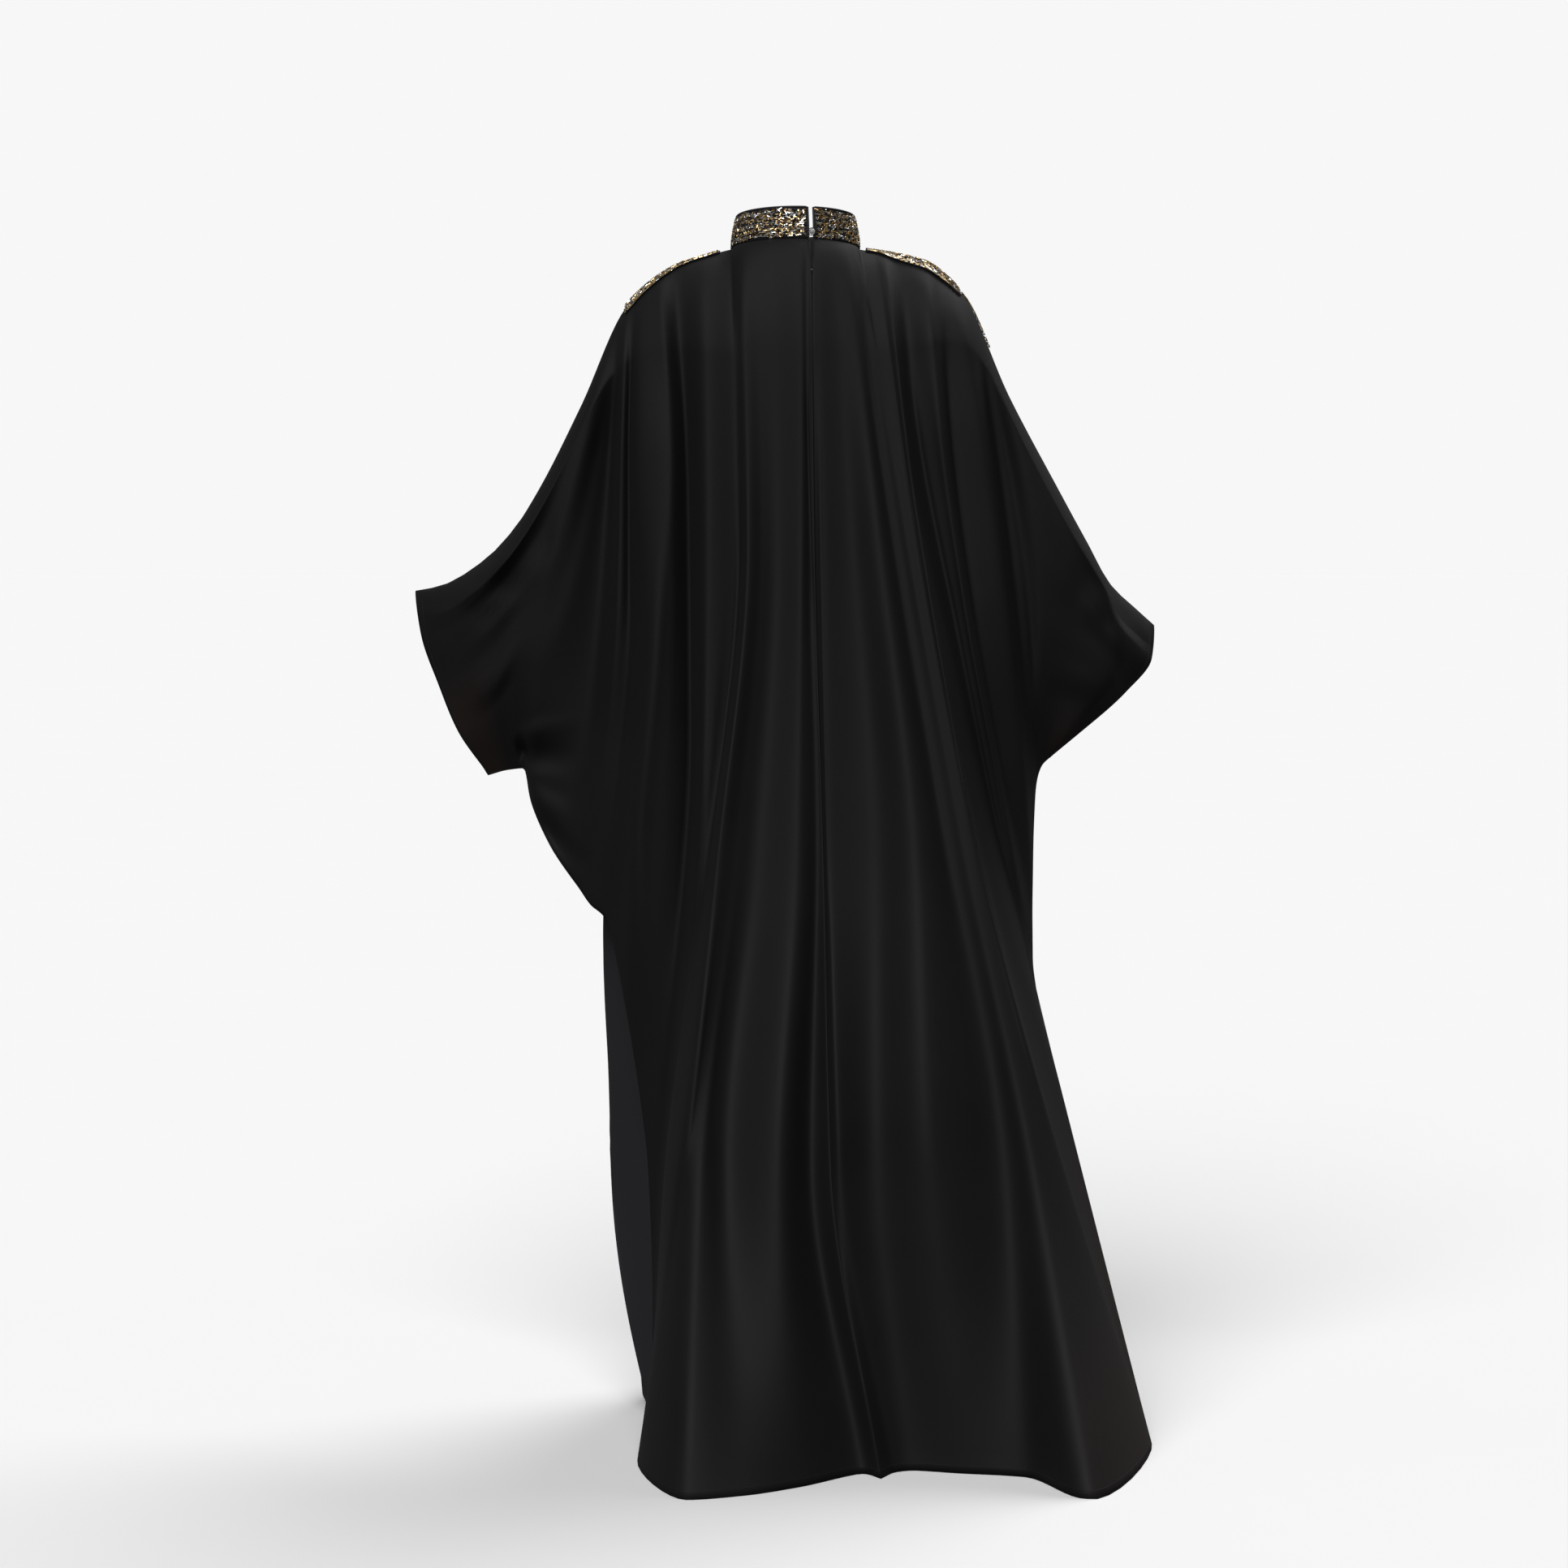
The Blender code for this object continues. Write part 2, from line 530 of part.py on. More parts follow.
def make_button(finish):
    """The faceted glass bead that closes the collar."""
    bm = bmesh.new()
    bmesh.ops.create_uvsphere(bm, u_segments=BUTTON_SIDES, v_segments=BUTTON_RINGS, radius=BUTTON_RADIUS)
    bmesh.ops.translate(bm, verts=bm.verts, vec=bead_centre())
    return add_object("button", bm, finish)


def make_loop(finish):
    """The thread loop that runs from the collar's left end round the bead."""
    centre = bead_centre()
    route = []
    for k in range(LOOP_POINTS):
        turn = LOOP_MOUTH + (2 * math.pi - 2 * LOOP_MOUTH) * k / (LOOP_POINTS - 1)
        route.append(Vector((math.cos(turn) * LOOP_RADIUS * LOOP_STRETCH, 0, math.sin(turn) * LOOP_RADIUS)))
    sewn = Vector((LOOP_REACH, 0, LOOP_FEET))
    route = [centre + place for place in (sewn, *route, sewn * Vector((1, 0, -1)))]
    for place in route:
        place.y = neck_depth(place.x) + LOOP_OUT
    line = bpy.data.curves.new("button_loop", "CURVE")
    line.dimensions = "3D"
    line.bevel_depth = LOOP_THREAD
    line.bevel_resolution = 1
    line.use_fill_caps = True
    spline = line.splines.new("POLY")
    spline.points.add(len(route) - 1)
    for point, place in zip(spline.points, route):
        point.co = (*place, 1.0)
    made = bpy.data.objects.new("button_loop", line)
    bpy.context.scene.collection.objects.link(made)
    line.materials.append(finish)
    return made


def main():
    for old in list(bpy.data.objects):
        bpy.data.objects.remove(old)
    black = material("black_crepe", BLACK, 0.75)
    beads = material("gold_beadwork", GOLD, 0.35, metallic=0.6)
    glass = material("clear_bead", CLEAR, 0.1, transmission=0.4)
    thread = material("black_thread", BLACK, 0.6)
    grids, normals = panel_grids()
    make_panels(grids, normals, black)
    make_collar(grids, beads)
    for side in SIDES:
        make_shoulder_trim(side, grids, normals, beads)
    make_button(glass)
    make_loop(thread)


if __name__ == "__main__":
    main()
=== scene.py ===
"""Dresses a batwing kaftan in its worn, hollow form: black crepe panels with their folds and hems, a stand
collar and shoulder bands worked in sequins and beads, a bead in a thread loop, and a plain studio.

The origin is the centre of the neck at the collar seam, +Z is up and the front faces -Y.
"""

import math
import random
from collections import namedtuple

import bmesh
import bpy
from bpy.props import FloatProperty, FloatVectorProperty, IntProperty, PointerProperty
from mathutils import Matrix, Vector


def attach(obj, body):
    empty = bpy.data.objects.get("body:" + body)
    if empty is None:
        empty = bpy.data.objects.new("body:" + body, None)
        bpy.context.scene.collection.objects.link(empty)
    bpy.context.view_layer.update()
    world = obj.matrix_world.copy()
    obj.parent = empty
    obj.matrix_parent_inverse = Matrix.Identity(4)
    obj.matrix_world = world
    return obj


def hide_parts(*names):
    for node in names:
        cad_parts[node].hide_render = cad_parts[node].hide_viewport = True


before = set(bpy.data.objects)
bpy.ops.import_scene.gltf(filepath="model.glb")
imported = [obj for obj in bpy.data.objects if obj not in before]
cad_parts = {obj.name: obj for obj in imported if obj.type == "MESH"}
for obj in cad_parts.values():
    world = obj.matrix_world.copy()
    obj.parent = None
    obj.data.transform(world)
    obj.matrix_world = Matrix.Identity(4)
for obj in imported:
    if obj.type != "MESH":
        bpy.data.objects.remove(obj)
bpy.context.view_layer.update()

bl_info = {
    "name": "Batwing kaftan",
    "version": (1, 0, 0),
    "blender": (4, 5, 0),
    "location": "3D View > Sidebar > Kaftan",
    "description": "Makes a kaftan's cloth, beadwork and stitching, and a studio to show it in",
    "category": "Add Mesh",
}

# The cut and the drape, in metres
FLOOR = -1.465          # the ground under the collar seam, where the train lies
FRONT_HEM = -1.455      # the front hem hangs just clear of the ground
SEAM_GAP = 0.0003       # between two panels at a seam
NECK_WIDE = 0.078       # half width of the neck ring
NECK_DEEP = 0.060       # half depth of the neck ring
NECK_RISE_BACK = 0.010  # the ring's back stands this far above its sides
NECK_FALL_FRONT = 0.022  # and its front this far below them
COLLAR_HEIGHT = 0.038
COLLAR_WALL = 0.0024
COLLAR_LEAN = 0.006     # how far the top of the collar leans in
COLLAR_SWELL = 0.001    # how far it swells out at mid height
COLLAR_END_GAP = 0.0035  # from the centre seam to each end of the collar
SLIT_LENGTH = 0.042     # keyhole slit below the collar
SLIT_HALF = 0.0045      # half its width at the collar
TRIM_WALL = 0.0026      # beaded band
TRIM_CLEAR = 0.0006     # band above the panels
TRIM_NARROW = 0.15      # its reach onto the back at the neck, as a share of its reach at the shoulder point
BUTTON_RADIUS = 0.004
BUTTON_HEIGHT = 0.008   # its centre above the collar seam
BUTTON_SIDE = 0.001     # its centre beside the centre seam
BUTTON_OUT = 0.0029     # and out from the neck ring
LOOP_THREAD = 0.0005    # radius of the loop's thread
LOOP_RADIUS = 0.0046
LOOP_STRETCH = 1.15     # how much wider than high the loop is
LOOP_FEET = 0.0015      # height of each end above or below the bead's centre
LOOP_OUT = 0.0012
LOOP_REACH = 0.0080     # from the bead's centre to where the loop is sewn on
LOOP_MOUTH = math.radians(35)   # half the angle at which it is open

# A line down a panel. The x values stand at the top edge and at each quarter of the drop, and end_z is where
# the line ends. start is how far the fold already stands out at the shoulder. The y values are the back's
# depth at each quarter and at the end. bow and bulge are how far the front's own line stands out, sideways
# and forwards, at mid drop.
Line = namedtuple("Line", "name top upper middle lower end end_z start y_upper y_middle y_lower y_end "
                          "bow bulge")

LEFT = (
    Line("centre_seam", -.019, -.023, -.033, -.041, -.100, FLOOR, .000, .130, .172, .250, .300, .000, .02),
    Line("seam_tuck", -.013, -.016, -.025, -.018, -.078, FLOOR, -.002, .128, .168, .224, .275, .010, .02),
    Line("seam_ridge", -.004, -.006, -.001, .021, -.004, FLOOR, .002, .136, .186, .276, .342, .015, .03),
    Line("soft_hollow", .025, .022, .044, .080, .062, FLOOR, -.002, .124, .168, .248, .385, .020, .04),
    Line("lobe", .045, .040, .070, .112, .127, FLOOR, .000, .130, .180, .270, .405, .035, .05),
    Line("long_ridge", .064, .057, .092, .136, .190, FLOOR, .004, .142, .196, .255, .205, .045, .07),
    Line("ridge_foot", .078, .071, .105, .156, .180, FLOOR, -.004, .112, .140, .165, -.020, .080, .09),
    Line("inner_ridge", .109, .104, .112, .142, .178, -1.300, .004, .120, .135, .115, .000, .078, .10),
    Line("deep_valley", .144, .131, .129, .147, .182, -1.150, -.020, .084, .090, .075, .020, .070, .10),
    Line("side_ridge", .167, .151, .164, .190, .208, -.945, .006, .112, .122, .100, .040, .030, .09),
    Line("underarm", .187, .190, .186, .202, .235, -.830, .002, .092, .098, .075, .020, .010, .06),
    Line("arm_hollow", .197, .202, .202, .217, .253, -.815, -.004, .068, .070, .050, .010, .000, .05),
    Line("arm_ridge", .206, .211, .215, .230, .268, -.795, .000, .072, .074, .050, .000, .000, .04),
    Line("sleeve_fold", .216, .227, .239, .258, .304, -.745, -.010, .032, .024, .010, -.020, .000, .03),
    Line("sleeve_back", .240, .262, .289, .315, .329, -.690, .000, .057, .045, .015, -.035, .000, .02),
    Line("sleeve_lobe", .289, .308, .335, .350, .339, -.650, .000, .045, .030, -.005, -.050, .000, .02),
    Line("cuff_fold", .371, .388, .392, .382, .360, -.653, .000, .012, .000, -.026, -.065, .000, .015),
    Line("cuff", .478, .468, .447, .423, .385, -.661, .000, -.086, -.078, -.074, -.090, .000, .01),
)
RIGHT = (
    LEFT[0],
    Line("seam_ridge", -.027, -.034, -.041, -.052, -.118, FLOOR, .000, .135, .178, .262, .267, .000, .02),
    Line("soft_hollow", -.041, -.067, -.092, -.095, -.140, FLOOR, -.002, .125, .166, .236, .258, .000, .03),
    Line("bright_ridge", -.059, -.099, -.142, -.158, -.192, FLOOR, .002, .142, .194, .270, .272, .000, .04),
    Line("long_hollow", -.069, -.123, -.184, -.246, -.271, FLOOR, -.002, .127, .166, .216, .292, .015, .05),
    Line("train_lobe", -.078, -.136, -.203, -.280, -.336, FLOOR, .000, .132, .172, .240, .400, .035, .06),
    Line("train_corner", -.094, -.147, -.218, -.318, -.435, FLOOR, .000, .128, .162, .190, .115, .045, .08),
    Line("side_ridge", -.107, -.137, -.182, -.238, -.326, -1.037, .006, .120, .138, .120, .060, .005, .09),
    Line("sharp_valley", -.123, -.152, -.197, -.244, -.298, -.925, -.012, .098, .100, .068, .030, .000, .08),
    Line("blade_ridge", -.157, -.176, -.206, -.248, -.293, -.878, .004, .106, .106, .075, .020, .000, .06),
    Line("fine_valley", -.175, -.189, -.215, -.251, -.293, -.830, -.006, .084, .084, .055, .010, .000, .05),
    Line("arm_ridge", -.199, -.225, -.251, -.273, -.294, -.775, .002, .078, .074, .045, .000, .000, .03),
    Line("sleeve_fold", -.222, -.247, -.268, -.284, -.296, -.725, -.008, .042, .036, .018, -.020, .000, .03),
    Line("sleeve_back", -.255, -.281, -.296, -.297, -.299, -.674, .000, .047, .035, .010, -.030, .000, .03),
    Line("sleeve_lobe", -.317, -.334, -.344, -.324, -.3025, -.656, .000, .034, .018, -.008, -.035, .000,
         .025),
    Line("cuff_fold", -.380, -.393, -.389, -.348, -.307, -.6455, .000, .006, -.004, -.018, -.039, .000, .015),
    Line("cuff", -.452, -.446, -.412, -.362, -.312, -.640, .000, -.078, -.066, -.040, -.042, .000, .01),
)
SIDES = {"left": LEFT, "right": RIGHT}
SIGNS = {"left": 1, "right": -1}
NECK_LINE = {"left": 6, "right": 5}   # the line that starts where the shoulder seam meets the collar
HEM_LINE = {"left": 6, "right": 6}    # the line that ends where the side seam meets the hem
FOLLOWS = (5, 8)        # lines past that one between which the front comes to follow the back's lines
TRAIN_LINES = (5, 6)    # the lines at the right that end at the train's lobe and corner
BAND_LINES = {"left": (6.5, 12.0), "right": (5.5, 11.0)}   # the lines between which a shoulder band lies

# The top seam, from the neck along the shoulder and arm to the wrist. back and front are how deep the cloth
# stands once it has rounded over, and drop is how far down that is.
Top = namedtuple("Top", "name x y z back front drop")
TOPS = {
    "left": (
        Top("centre", -.019, .060, .000, .118, -.100, .130),
        Top("neck", .078, .000, -.010, .104, -.088, .125),
        Top("shoulder", .109, .006, -.019, .102, -.084, .115),
        Top("slope", .144, .010, -.031, .096, -.076, .100),
        Top("shoulder_point", .206, .012, -.080, .068, -.052, .070),
        Top("upper_arm", .262, .012, -.200, .060, -.040, .055),
        Top("arm", .313, .008, -.300, .056, -.044, .050),
        Top("elbow", .345, .000, -.350, .048, -.052, .045),
        Top("forearm", .386, -.025, -.391, .018, -.072, .040),
        Top("lower_arm", .443, -.080, -.423, -.046, -.118, .034),
        Top("wrist", .478, -.120, -.430, -.092, -.150, .028),
    ),
    "right": (
        Top("centre", -.019, .060, .000, .118, -.100, .130),
        Top("neck", -.078, .000, -.010, .104, -.088, .125),
        Top("shoulder", -.122, -.002, -.017, .100, -.084, .115),
        Top("slope", -.157, -.008, -.025, .094, -.080, .100),
        Top("shoulder_point", -.206, -.014, -.066, .066, -.060, .070),
        Top("upper_arm", -.262, -.016, -.187, .052, -.056, .055),
        Top("arm", -.316, -.016, -.288, .042, -.062, .050),
        Top("elbow", -.358, -.030, -.363, .030, -.074, .045),
        Top("forearm", -.394, -.070, -.422, -.025, -.104, .040),
        Top("lower_arm", -.425, -.095, -.450, -.060, -.126, .034),
        Top("wrist", -.452, -.120, -.473, -.085, -.148, .028),
    ),
}

# The front hem from the centre front out to the side seam, on each side.
FRONT_HEMS = {
    "left": ((-.010, -.245), (.060, -.250), (.130, -.225), (.195, -.150), (.180, -.020)),
    "right": ((-.010, -.245), (-.110, -.255), (-.220, -.230), (-.340, -.130), (-.435, .115)),
}

# Hanging folds of the front. top and end say which line they follow there, in lines from the centre.
FrontFold = namedtuple("FrontFold", "name side top end width depth begins")
FRONT_FOLDS = (
    FrontFold("centre_hollow", "left", 0.4, 0.6, 0.8, -.014, .10),
    FrontFold("bust_ridge", "left", 3.6, 2.4, 1.1, .022, .06),
    FrontFold("hip_hollow", "left", 5.6, 4.4, 1.0, -.020, .12),
    FrontFold("shoulder_ridge", "left", 8.2, 6.6, 0.9, .014, .04),
    FrontFold("arm_hollow", "left", 11.0, 11.4, 1.2, -.024, .03),
    FrontFold("centre_ridge", "right", 1.5, 1.3, 0.9, .016, .12),
    FrontFold("bust_hollow", "right", 3.2, 2.6, 0.9, -.018, .08),
    FrontFold("hip_ridge", "right", 4.9, 4.1, 1.1, .022, .05),
    FrontFold("side_hollow", "right", 6.6, 5.5, 0.8, -.018, .10),
    FrontFold("arm_hollow", "right", 10.4, 10.8, 1.2, -.022, .03),
)

# Creases finer than the lines. They run from one line to another between two shares of the drop. width is
# in lines, depth is out of the cloth, and lean makes one flank steeper than the other.
CREASE_GROWS = 0.25     # a crease grows to its full depth over this share of its length
CREASE_FADES = 0.7      # and fades out from this share on
Crease = namedtuple("Crease", "name side face top end begins stops width depth lean")
CREASES = (
    Crease("pleat by the seam", "left", "back", 1.2, 0.4, .10, .34, .45, -.0022, .3),
    Crease("long inner pleat", "left", "back", 5.8, 5.6, .16, .86, .50, -.0050, -.4),
    Crease("deep pleat", "left", "back", 8.0, 7.9, .06, .80, .45, -.0080, -.3),
    Crease("second pleat", "left", "back", 8.9, 8.6, .30, .86, .35, -.0040, .3),
    Crease("arm pleat", "left", "back", 11.0, 11.0, .05, .60, .60, -.0050, .2),
    Crease("sleeve pull", "left", "back", 13.4, 14.2, .10, .70, .50, -.0045, .3),
    Crease("cuff pull one", "left", "back", 16.6, 15.6, .06, .42, .16, -.0035, .2),
    Crease("cuff pull two", "left", "back", 16.2, 14.9, .04, .50, .22, -.0040, .2),
    Crease("cuff pull three", "left", "back", 15.7, 14.4, .04, .46, .28, -.0030, -.2),
    Crease("ridge by the seam", "right", "back", 0.7, 0.6, .12, .60, .30, .0016, .0),
    Crease("sharp pleat", "right", "back", 7.85, 7.9, .10, .92, .45, -.0070, -.5),
    Crease("fine pleat", "right", "back", 9.9, 9.8, .05, .90, .35, -.0040, .4),
    Crease("blade edge", "right", "back", 8.8, 8.9, .12, .80, .35, .0030, .3),
    Crease("long pull", "right", "back", 3.6, 3.9, .06, .60, .35, -.0030, -.5),
    Crease("cuff pull one", "right", "back", 15.4, 14.6, .05, .42, .20, -.0040, .2),
    Crease("cuff pull two", "right", "back", 15.0, 13.8, .04, .50, .28, -.0035, -.2),
    Crease("sleeve pull", "right", "back", 12.3, 12.8, .08, .80, .40, -.0040, .2),
    Crease("front pleat", "left", "front", 2.4, 1.6, .10, .95, .60, -.0085, .3),
    Crease("front pull", "left", "front", 4.6, 3.4, .08, .90, .55, .0070, -.3),
    Crease("front side pleat", "left", "front", 6.8, 5.6, .12, .96, .55, -.0090, .4),
    Crease("front sleeve pull", "left", "front", 13.6, 14.4, .08, .70, .50, -.0045, .2),
    Crease("front cuff pull", "left", "front", 16.3, 15.2, .05, .50, .24, -.0038, -.2),
    Crease("front cuff pull two", "left", "front", 15.8, 14.6, .05, .44, .22, -.0030, .3),
    Crease("front pleat", "right", "front", 2.2, 1.8, .12, .94, .55, -.0080, -.4),
    Crease("front pull", "right", "front", 4.1, 3.2, .08, .88, .60, .0080, .3),
    Crease("front side pleat", "right", "front", 5.9, 4.9, .10, .95, .50, -.0085, -.3),
    Crease("front sleeve pull", "right", "front", 12.2, 12.7, .08, .72, .45, -.0040, .3),
    Crease("front cuff pull", "right", "front", 15.2, 14.0, .05, .48, .26, -.0036, .2),
)

# Folds that sweep across the lines, from a place near the seam to a place further in. v is the share of the
# drop, and width is in the same shares.
SWEEP_DEEPEST = 1 / 3   # share of the way in at which a sweep is deepest
SWEEP_EDGE = 0.985      # a sweep fades out below this share of the drop
Sweep = namedtuple("Sweep", "name side face at_seam v_seam at_in v_in width depth")
SWEEPS = (
    Sweep("tuck lip", "left", "back", 15.3, .930, 12.9, .760, .040, .0070),
    Sweep("tuck shadow", "left", "back", 15.3, .985, 12.7, .810, .038, -.0110),
    Sweep("lower lobe", "left", "back", 14.3, .990, 12.2, .900, .040, .0060),
    Sweep("lower lobe shadow", "left", "back", 13.6, .995, 11.4, .940, .032, -.0050),
    Sweep("sleeve sag", "left", "back", 16.7, .480, 13.6, .520, .110, -.0060),
    Sweep("sleeve sag ridge", "left", "back", 16.6, .640, 13.8, .660, .090, .0050),
    Sweep("front tuck lip", "left", "front", 15.2, .920, 13.0, .780, .045, .0060),
    Sweep("front sleeve sag", "left", "front", 16.6, .500, 13.8, .540, .110, -.0060),
    Sweep("sleeve sag", "right", "back", 15.6, .420, 12.6, .520, .110, -.0050),
    Sweep("sleeve sag ridge", "right", "back", 15.4, .600, 12.8, .700, .090, .0035),
    Sweep("front sleeve sag", "right", "front", 15.5, .440, 12.7, .540, .110, -.0050),
)

# The tuck where the left sleeve's lower edge folds in behind itself.
TUCK_DEPTH = 0.016
TUCK_SEAM = 15.3        # the line where it meets the seam
TUCK_REACH = 2.4        # lines that it runs in from there
TUCK_WIDTH = 0.075      # share of the drop
TUCK_LOW = 0.97         # share of the drop at the seam
TUCK_RISE = 0.16        # how much higher it ends
TUCK_EDGE = 0.1         # it fades at the seam over this share of its run and of the drop
SEAM_ROUND = 0.005      # how far the cloth rounds out beside the side and under-sleeve seams
SEAM_GROWS = 0.3        # the share of the drop over which it comes to do so
SEAM_SHARP = 8          # the higher, the nearer to the seam it turns in again
CUFF_EASES = 3          # lines before the cuff over which that fades
TRAIN_ROUND = 0.030     # how far the train's hem rounds out between its lobe and its corner

# How the cloth comes off the shoulder, in shares of the drop
MOST_ROUNDED = 0.2      # the rounding ends by here on short lines
ROUND_SHARE = 0.75      # share of a circle in the rounding, the rest is straight
FOLD_GROWS = 0.35       # a front fold grows to its full depth over this share
FOLD_SIDE_EASE = 3      # the higher, the nearer to the side seam a front fold still stands out
BULGE_HIGH = 0.7        # below 1 the front's bulge lies above mid drop
BULGE_BLUNT = 0.8       # below 1 it is blunter than a sine

# How finely the panels are made
STRIPS = {"back": 8, "front": 5}       # strips between two lines
TOP_ROWS = 18                          # rows over the rounding at the top
TOP_CROWD = 1.5                        # above 1 they crowd towards the seam
LOWER_ROWS = {"back": 150, "front": 120}
HEM_WIDE = 0.009                       # a hem turned up twice
HEM_RISE = 0.0006                      # how far it stands out
HEM_EASE = 1.15                        # how far up it ends, in hem widths
SEAM_DIP = 0.0007                      # how far the cloth sinks into the centre-back seam
SEAM_DIP_WIDE = 0.25                   # how far from that seam, in lines
CUFF_WIDE = 0.09                       # from a cuff's edge to its stitches, in lines
STITCH_RADIUS = 0.00022
STITCH_SPACING = 1.5                   # from stitch to stitch, in stitches
STITCH_STEPS = 16                      # points on a hem's row of stitches between two lines
CUFF_STEPS = 64                        # steps down a cuff's row of stitches

# Painted backlight: where one layer of cloth hangs by itself, a browner colour is painted in for the light
# that would shine through it. It comes in between the lines begins and full and goes out between fades and
# ends.
# Down the drop it comes in between high and low. most is the most painted light.
SingleLayer = namedtuple("SingleLayer", "name sides faces begins full fades ends high low most")
PAINTED_BACKLIGHTS = (
    SingleLayer("left cuff", ("left",), ("back", "front"), 15.4, 16.6, 18, 19, .35, .75, 1),
    SingleLayer("right cuff", ("right",), ("back", "front"), 13, 16, 17, 18, .55, .95, 1),
    SingleLayer("train corner", ("right",), ("back", "front"), 4.6, 6.0, 6.2, 7.2, .80, .97, .8),
    SingleLayer("front side", ("left", "right"), ("front",), 4.5, 5.8, 6.0, 7.4, .35, .55, 1),
)

# The sizes to which a piece of cloth is cut, flat, with area where the cut isn't a rectangle; no piece uses
# it.
Cut = namedtuple("Cut", "width length area")

# The finish of the crepe
PATCH_TONE = 1.35                      # its lighter patches against its own colour
PATCH_ROUGHNESS = (-0.05, 0.08)        # the least and most that a patch adds to its roughness
GRAIN_SIZE = 2.2                       # size of its uneven grain, in threads
WAVE_PERIOD = 0.314                    # from band to band of a wave pattern at scale 1
WEAVE_HEIGHT = 0.18                    # height of the weave, in threads

# How metallic and how rough each bead finish is, and how far single beads depart from it
BEAD_FINISHES = {"gold": (0.85, 0.24), "silver": (0.85, 0.18), "bronze": (0.85, 0.28), "black": (0.0, 0.12)}
BEAD_TONES = (0.45, 1.35)
BEAD_ROUGHNESS = (0.6, 1.5)

# The small shapes of the beadwork
SEQUIN_THICK = 0.0005
SEQUIN_RAISED = 0.7                    # radius of its raised face, as a share of its own
BUGLE_SLIM = 0.2                       # a bugle bead's radius, as a share of its length
KINDS = ("sequin", "bugle", "seed")
COLLAR_KINDS = (0.30, 0.46, 0.24)      # shares of those kinds on the collar
BAND_KINDS = (0.25, 0.40, 0.35)        # and on the shoulder bands
SEEDS = {"collar": 11, "left": 24, "right": 22}   # of the random draws

# The collar's cloth and binding
COLLAR_STEPS = 160                     # round the neck
COLLAR_ROWS = 8
COLLAR_TILT = 0.15                     # how far its face looks up
BINDING_RADIUS = 0.0014
BINDING_HEIGHTS = (0.03, 0.5, 0.98)    # where it runs up each end, in shares of the collar's height

# The beadwork of the collar. The shares are of gold, silver, bronze and black beads.
COLLAR_LENGTH = 0.43                   # round the neck
COLLAR_BARE = 0.008                    # bare share at each end, under the binding
BEAD_PITCH = 0.0023                    # from bead to bead along a line
ROWS_PER_BAND = 3                      # lines of beads in a wavy band, the last of them dark
BAND_WAVE = 0.022                      # how far a band waves, as a share of the collar's height
BAND_WAVES = 9                         # waves round the neck
BAND_SHIFT = 0.13                      # how far each band's waves lie past the last one's, in waves
BEADED_FROM = 0.05                     # the beads begin at this share of the height
BEADED_SHARE = 0.90                    # and cover this share of it
BEAD_HEIGHTS = (0.03, 0.965)           # none lies past these
BEAD_STRAY_ALONG = 0.3                 # how far a bead strays along its line, in pitches
BEAD_STRAY_UP = 0.012                  # and up or down, as a share of the height
BEAD_TILT = 0.3
BEAD_AHEAD = 0.002                     # the step along the collar that gives a bead its direction
SPINS = {"collar": 0.55, "band": 0.6, "tail": 0.5}   # spread of the beads' turns, in radians
TAIL_LINES = (11.2, 12.5)              # the thin line of beads down the right arm runs between these lines
TAIL_BEADS = 26
TAIL_DROP = 0.0015                     # how far each of its rows lies from the seam, as a share of the drop
BAND_SHARES = {"gold": (0.50, 0.22, 0.16, 0.12), "silver": (0.32, 0.44, 0.14, 0.10),
               "dark": (0.12, 0.12, 0.26, 0.50)}

# The shoulder bands
BAND_STEPS = 66                        # along the seam
BAND_CROSS_STEPS = 24                  # across it, a third of them on the back
BAND_CLOTH = TRIM_WALL * 0.6           # the thickness of the cloth under the beads
TRIM_BACK = 0.15                       # its widest reach onto the back, as a share of the rounding
TRIM_FRONT = SLIT_LENGTH / TOPS["left"][0].drop   # and onto the front
TRIM_WIDENS = (0.1, 0.9)               # it widens between these shares of its length
TRIM_CROWD = 1.6                       # above 1 its points crowd towards the seam

LOOP_STEPS = 24                        # round the bead's loop

# The camera stands where the photograph was taken from, and looks down a little
CAMERA_PLACE = (0.014, 5.2, -0.315)
CAMERA_LOOKS_DOWN = 0.351              # over its distance from the garment
CAMERA_TILT = math.atan(CAMERA_LOOKS_DOWN / CAMERA_PLACE[1])
CAMERA_LENS = 96.894
CAMERA_SEES = 200                      # how far it sees
FLOOR_HALF = 60                        # half the floor's width
FLOOR_CLEAR = 0.0005                   # how far the floor lies under the hem
FLOOR_TONE = 0.99                      # its darker patches against its own colour
LIGHT_PLACES = {"key": (0.6, 2.8, 2.6), "top": (-1.3, -1.6, 2.6)}
SOFTNESS = math.radians(40)            # width of each light as seen from the garment


class KaftanCloth(bpy.types.PropertyGroup):
    """Sizes and colours of the crepe"""
    colour: FloatVectorProperty(
        name="Crepe", description="Colour of the cloth", subtype="COLOR", size=3, min=0, max=1,
        default=(0.0078, 0.0078, 0.0084))
    # The browner colour painted in for light shining through one layer of cloth
    single_colour: FloatVectorProperty(
        name="Painted backlight", description="Colour where one layer of cloth lets some light through",
        subtype="COLOR", size=3, min=0, max=1, default=(0.024, 0.016, 0.013))
    thickness: FloatProperty(
        name="Thickness", description="Thickness of the cloth", unit="LENGTH", default=0.0012, min=0.0003,
        max=0.002)
    roughness: FloatProperty(
        name="Roughness", description="Roughness of the cloth's face", subtype="FACTOR", default=0.60, min=0,
        max=1)
    thread: FloatProperty(
        name="Thread", description="Distance between two threads of the weave", unit="LENGTH",
        default=0.0006, min=0.0002, max=0.003)
    stitch: FloatProperty(
        name="Stitch", description="Length of a hem stitch", unit="LENGTH", default=0.0026, min=0.001,
        max=0.01)


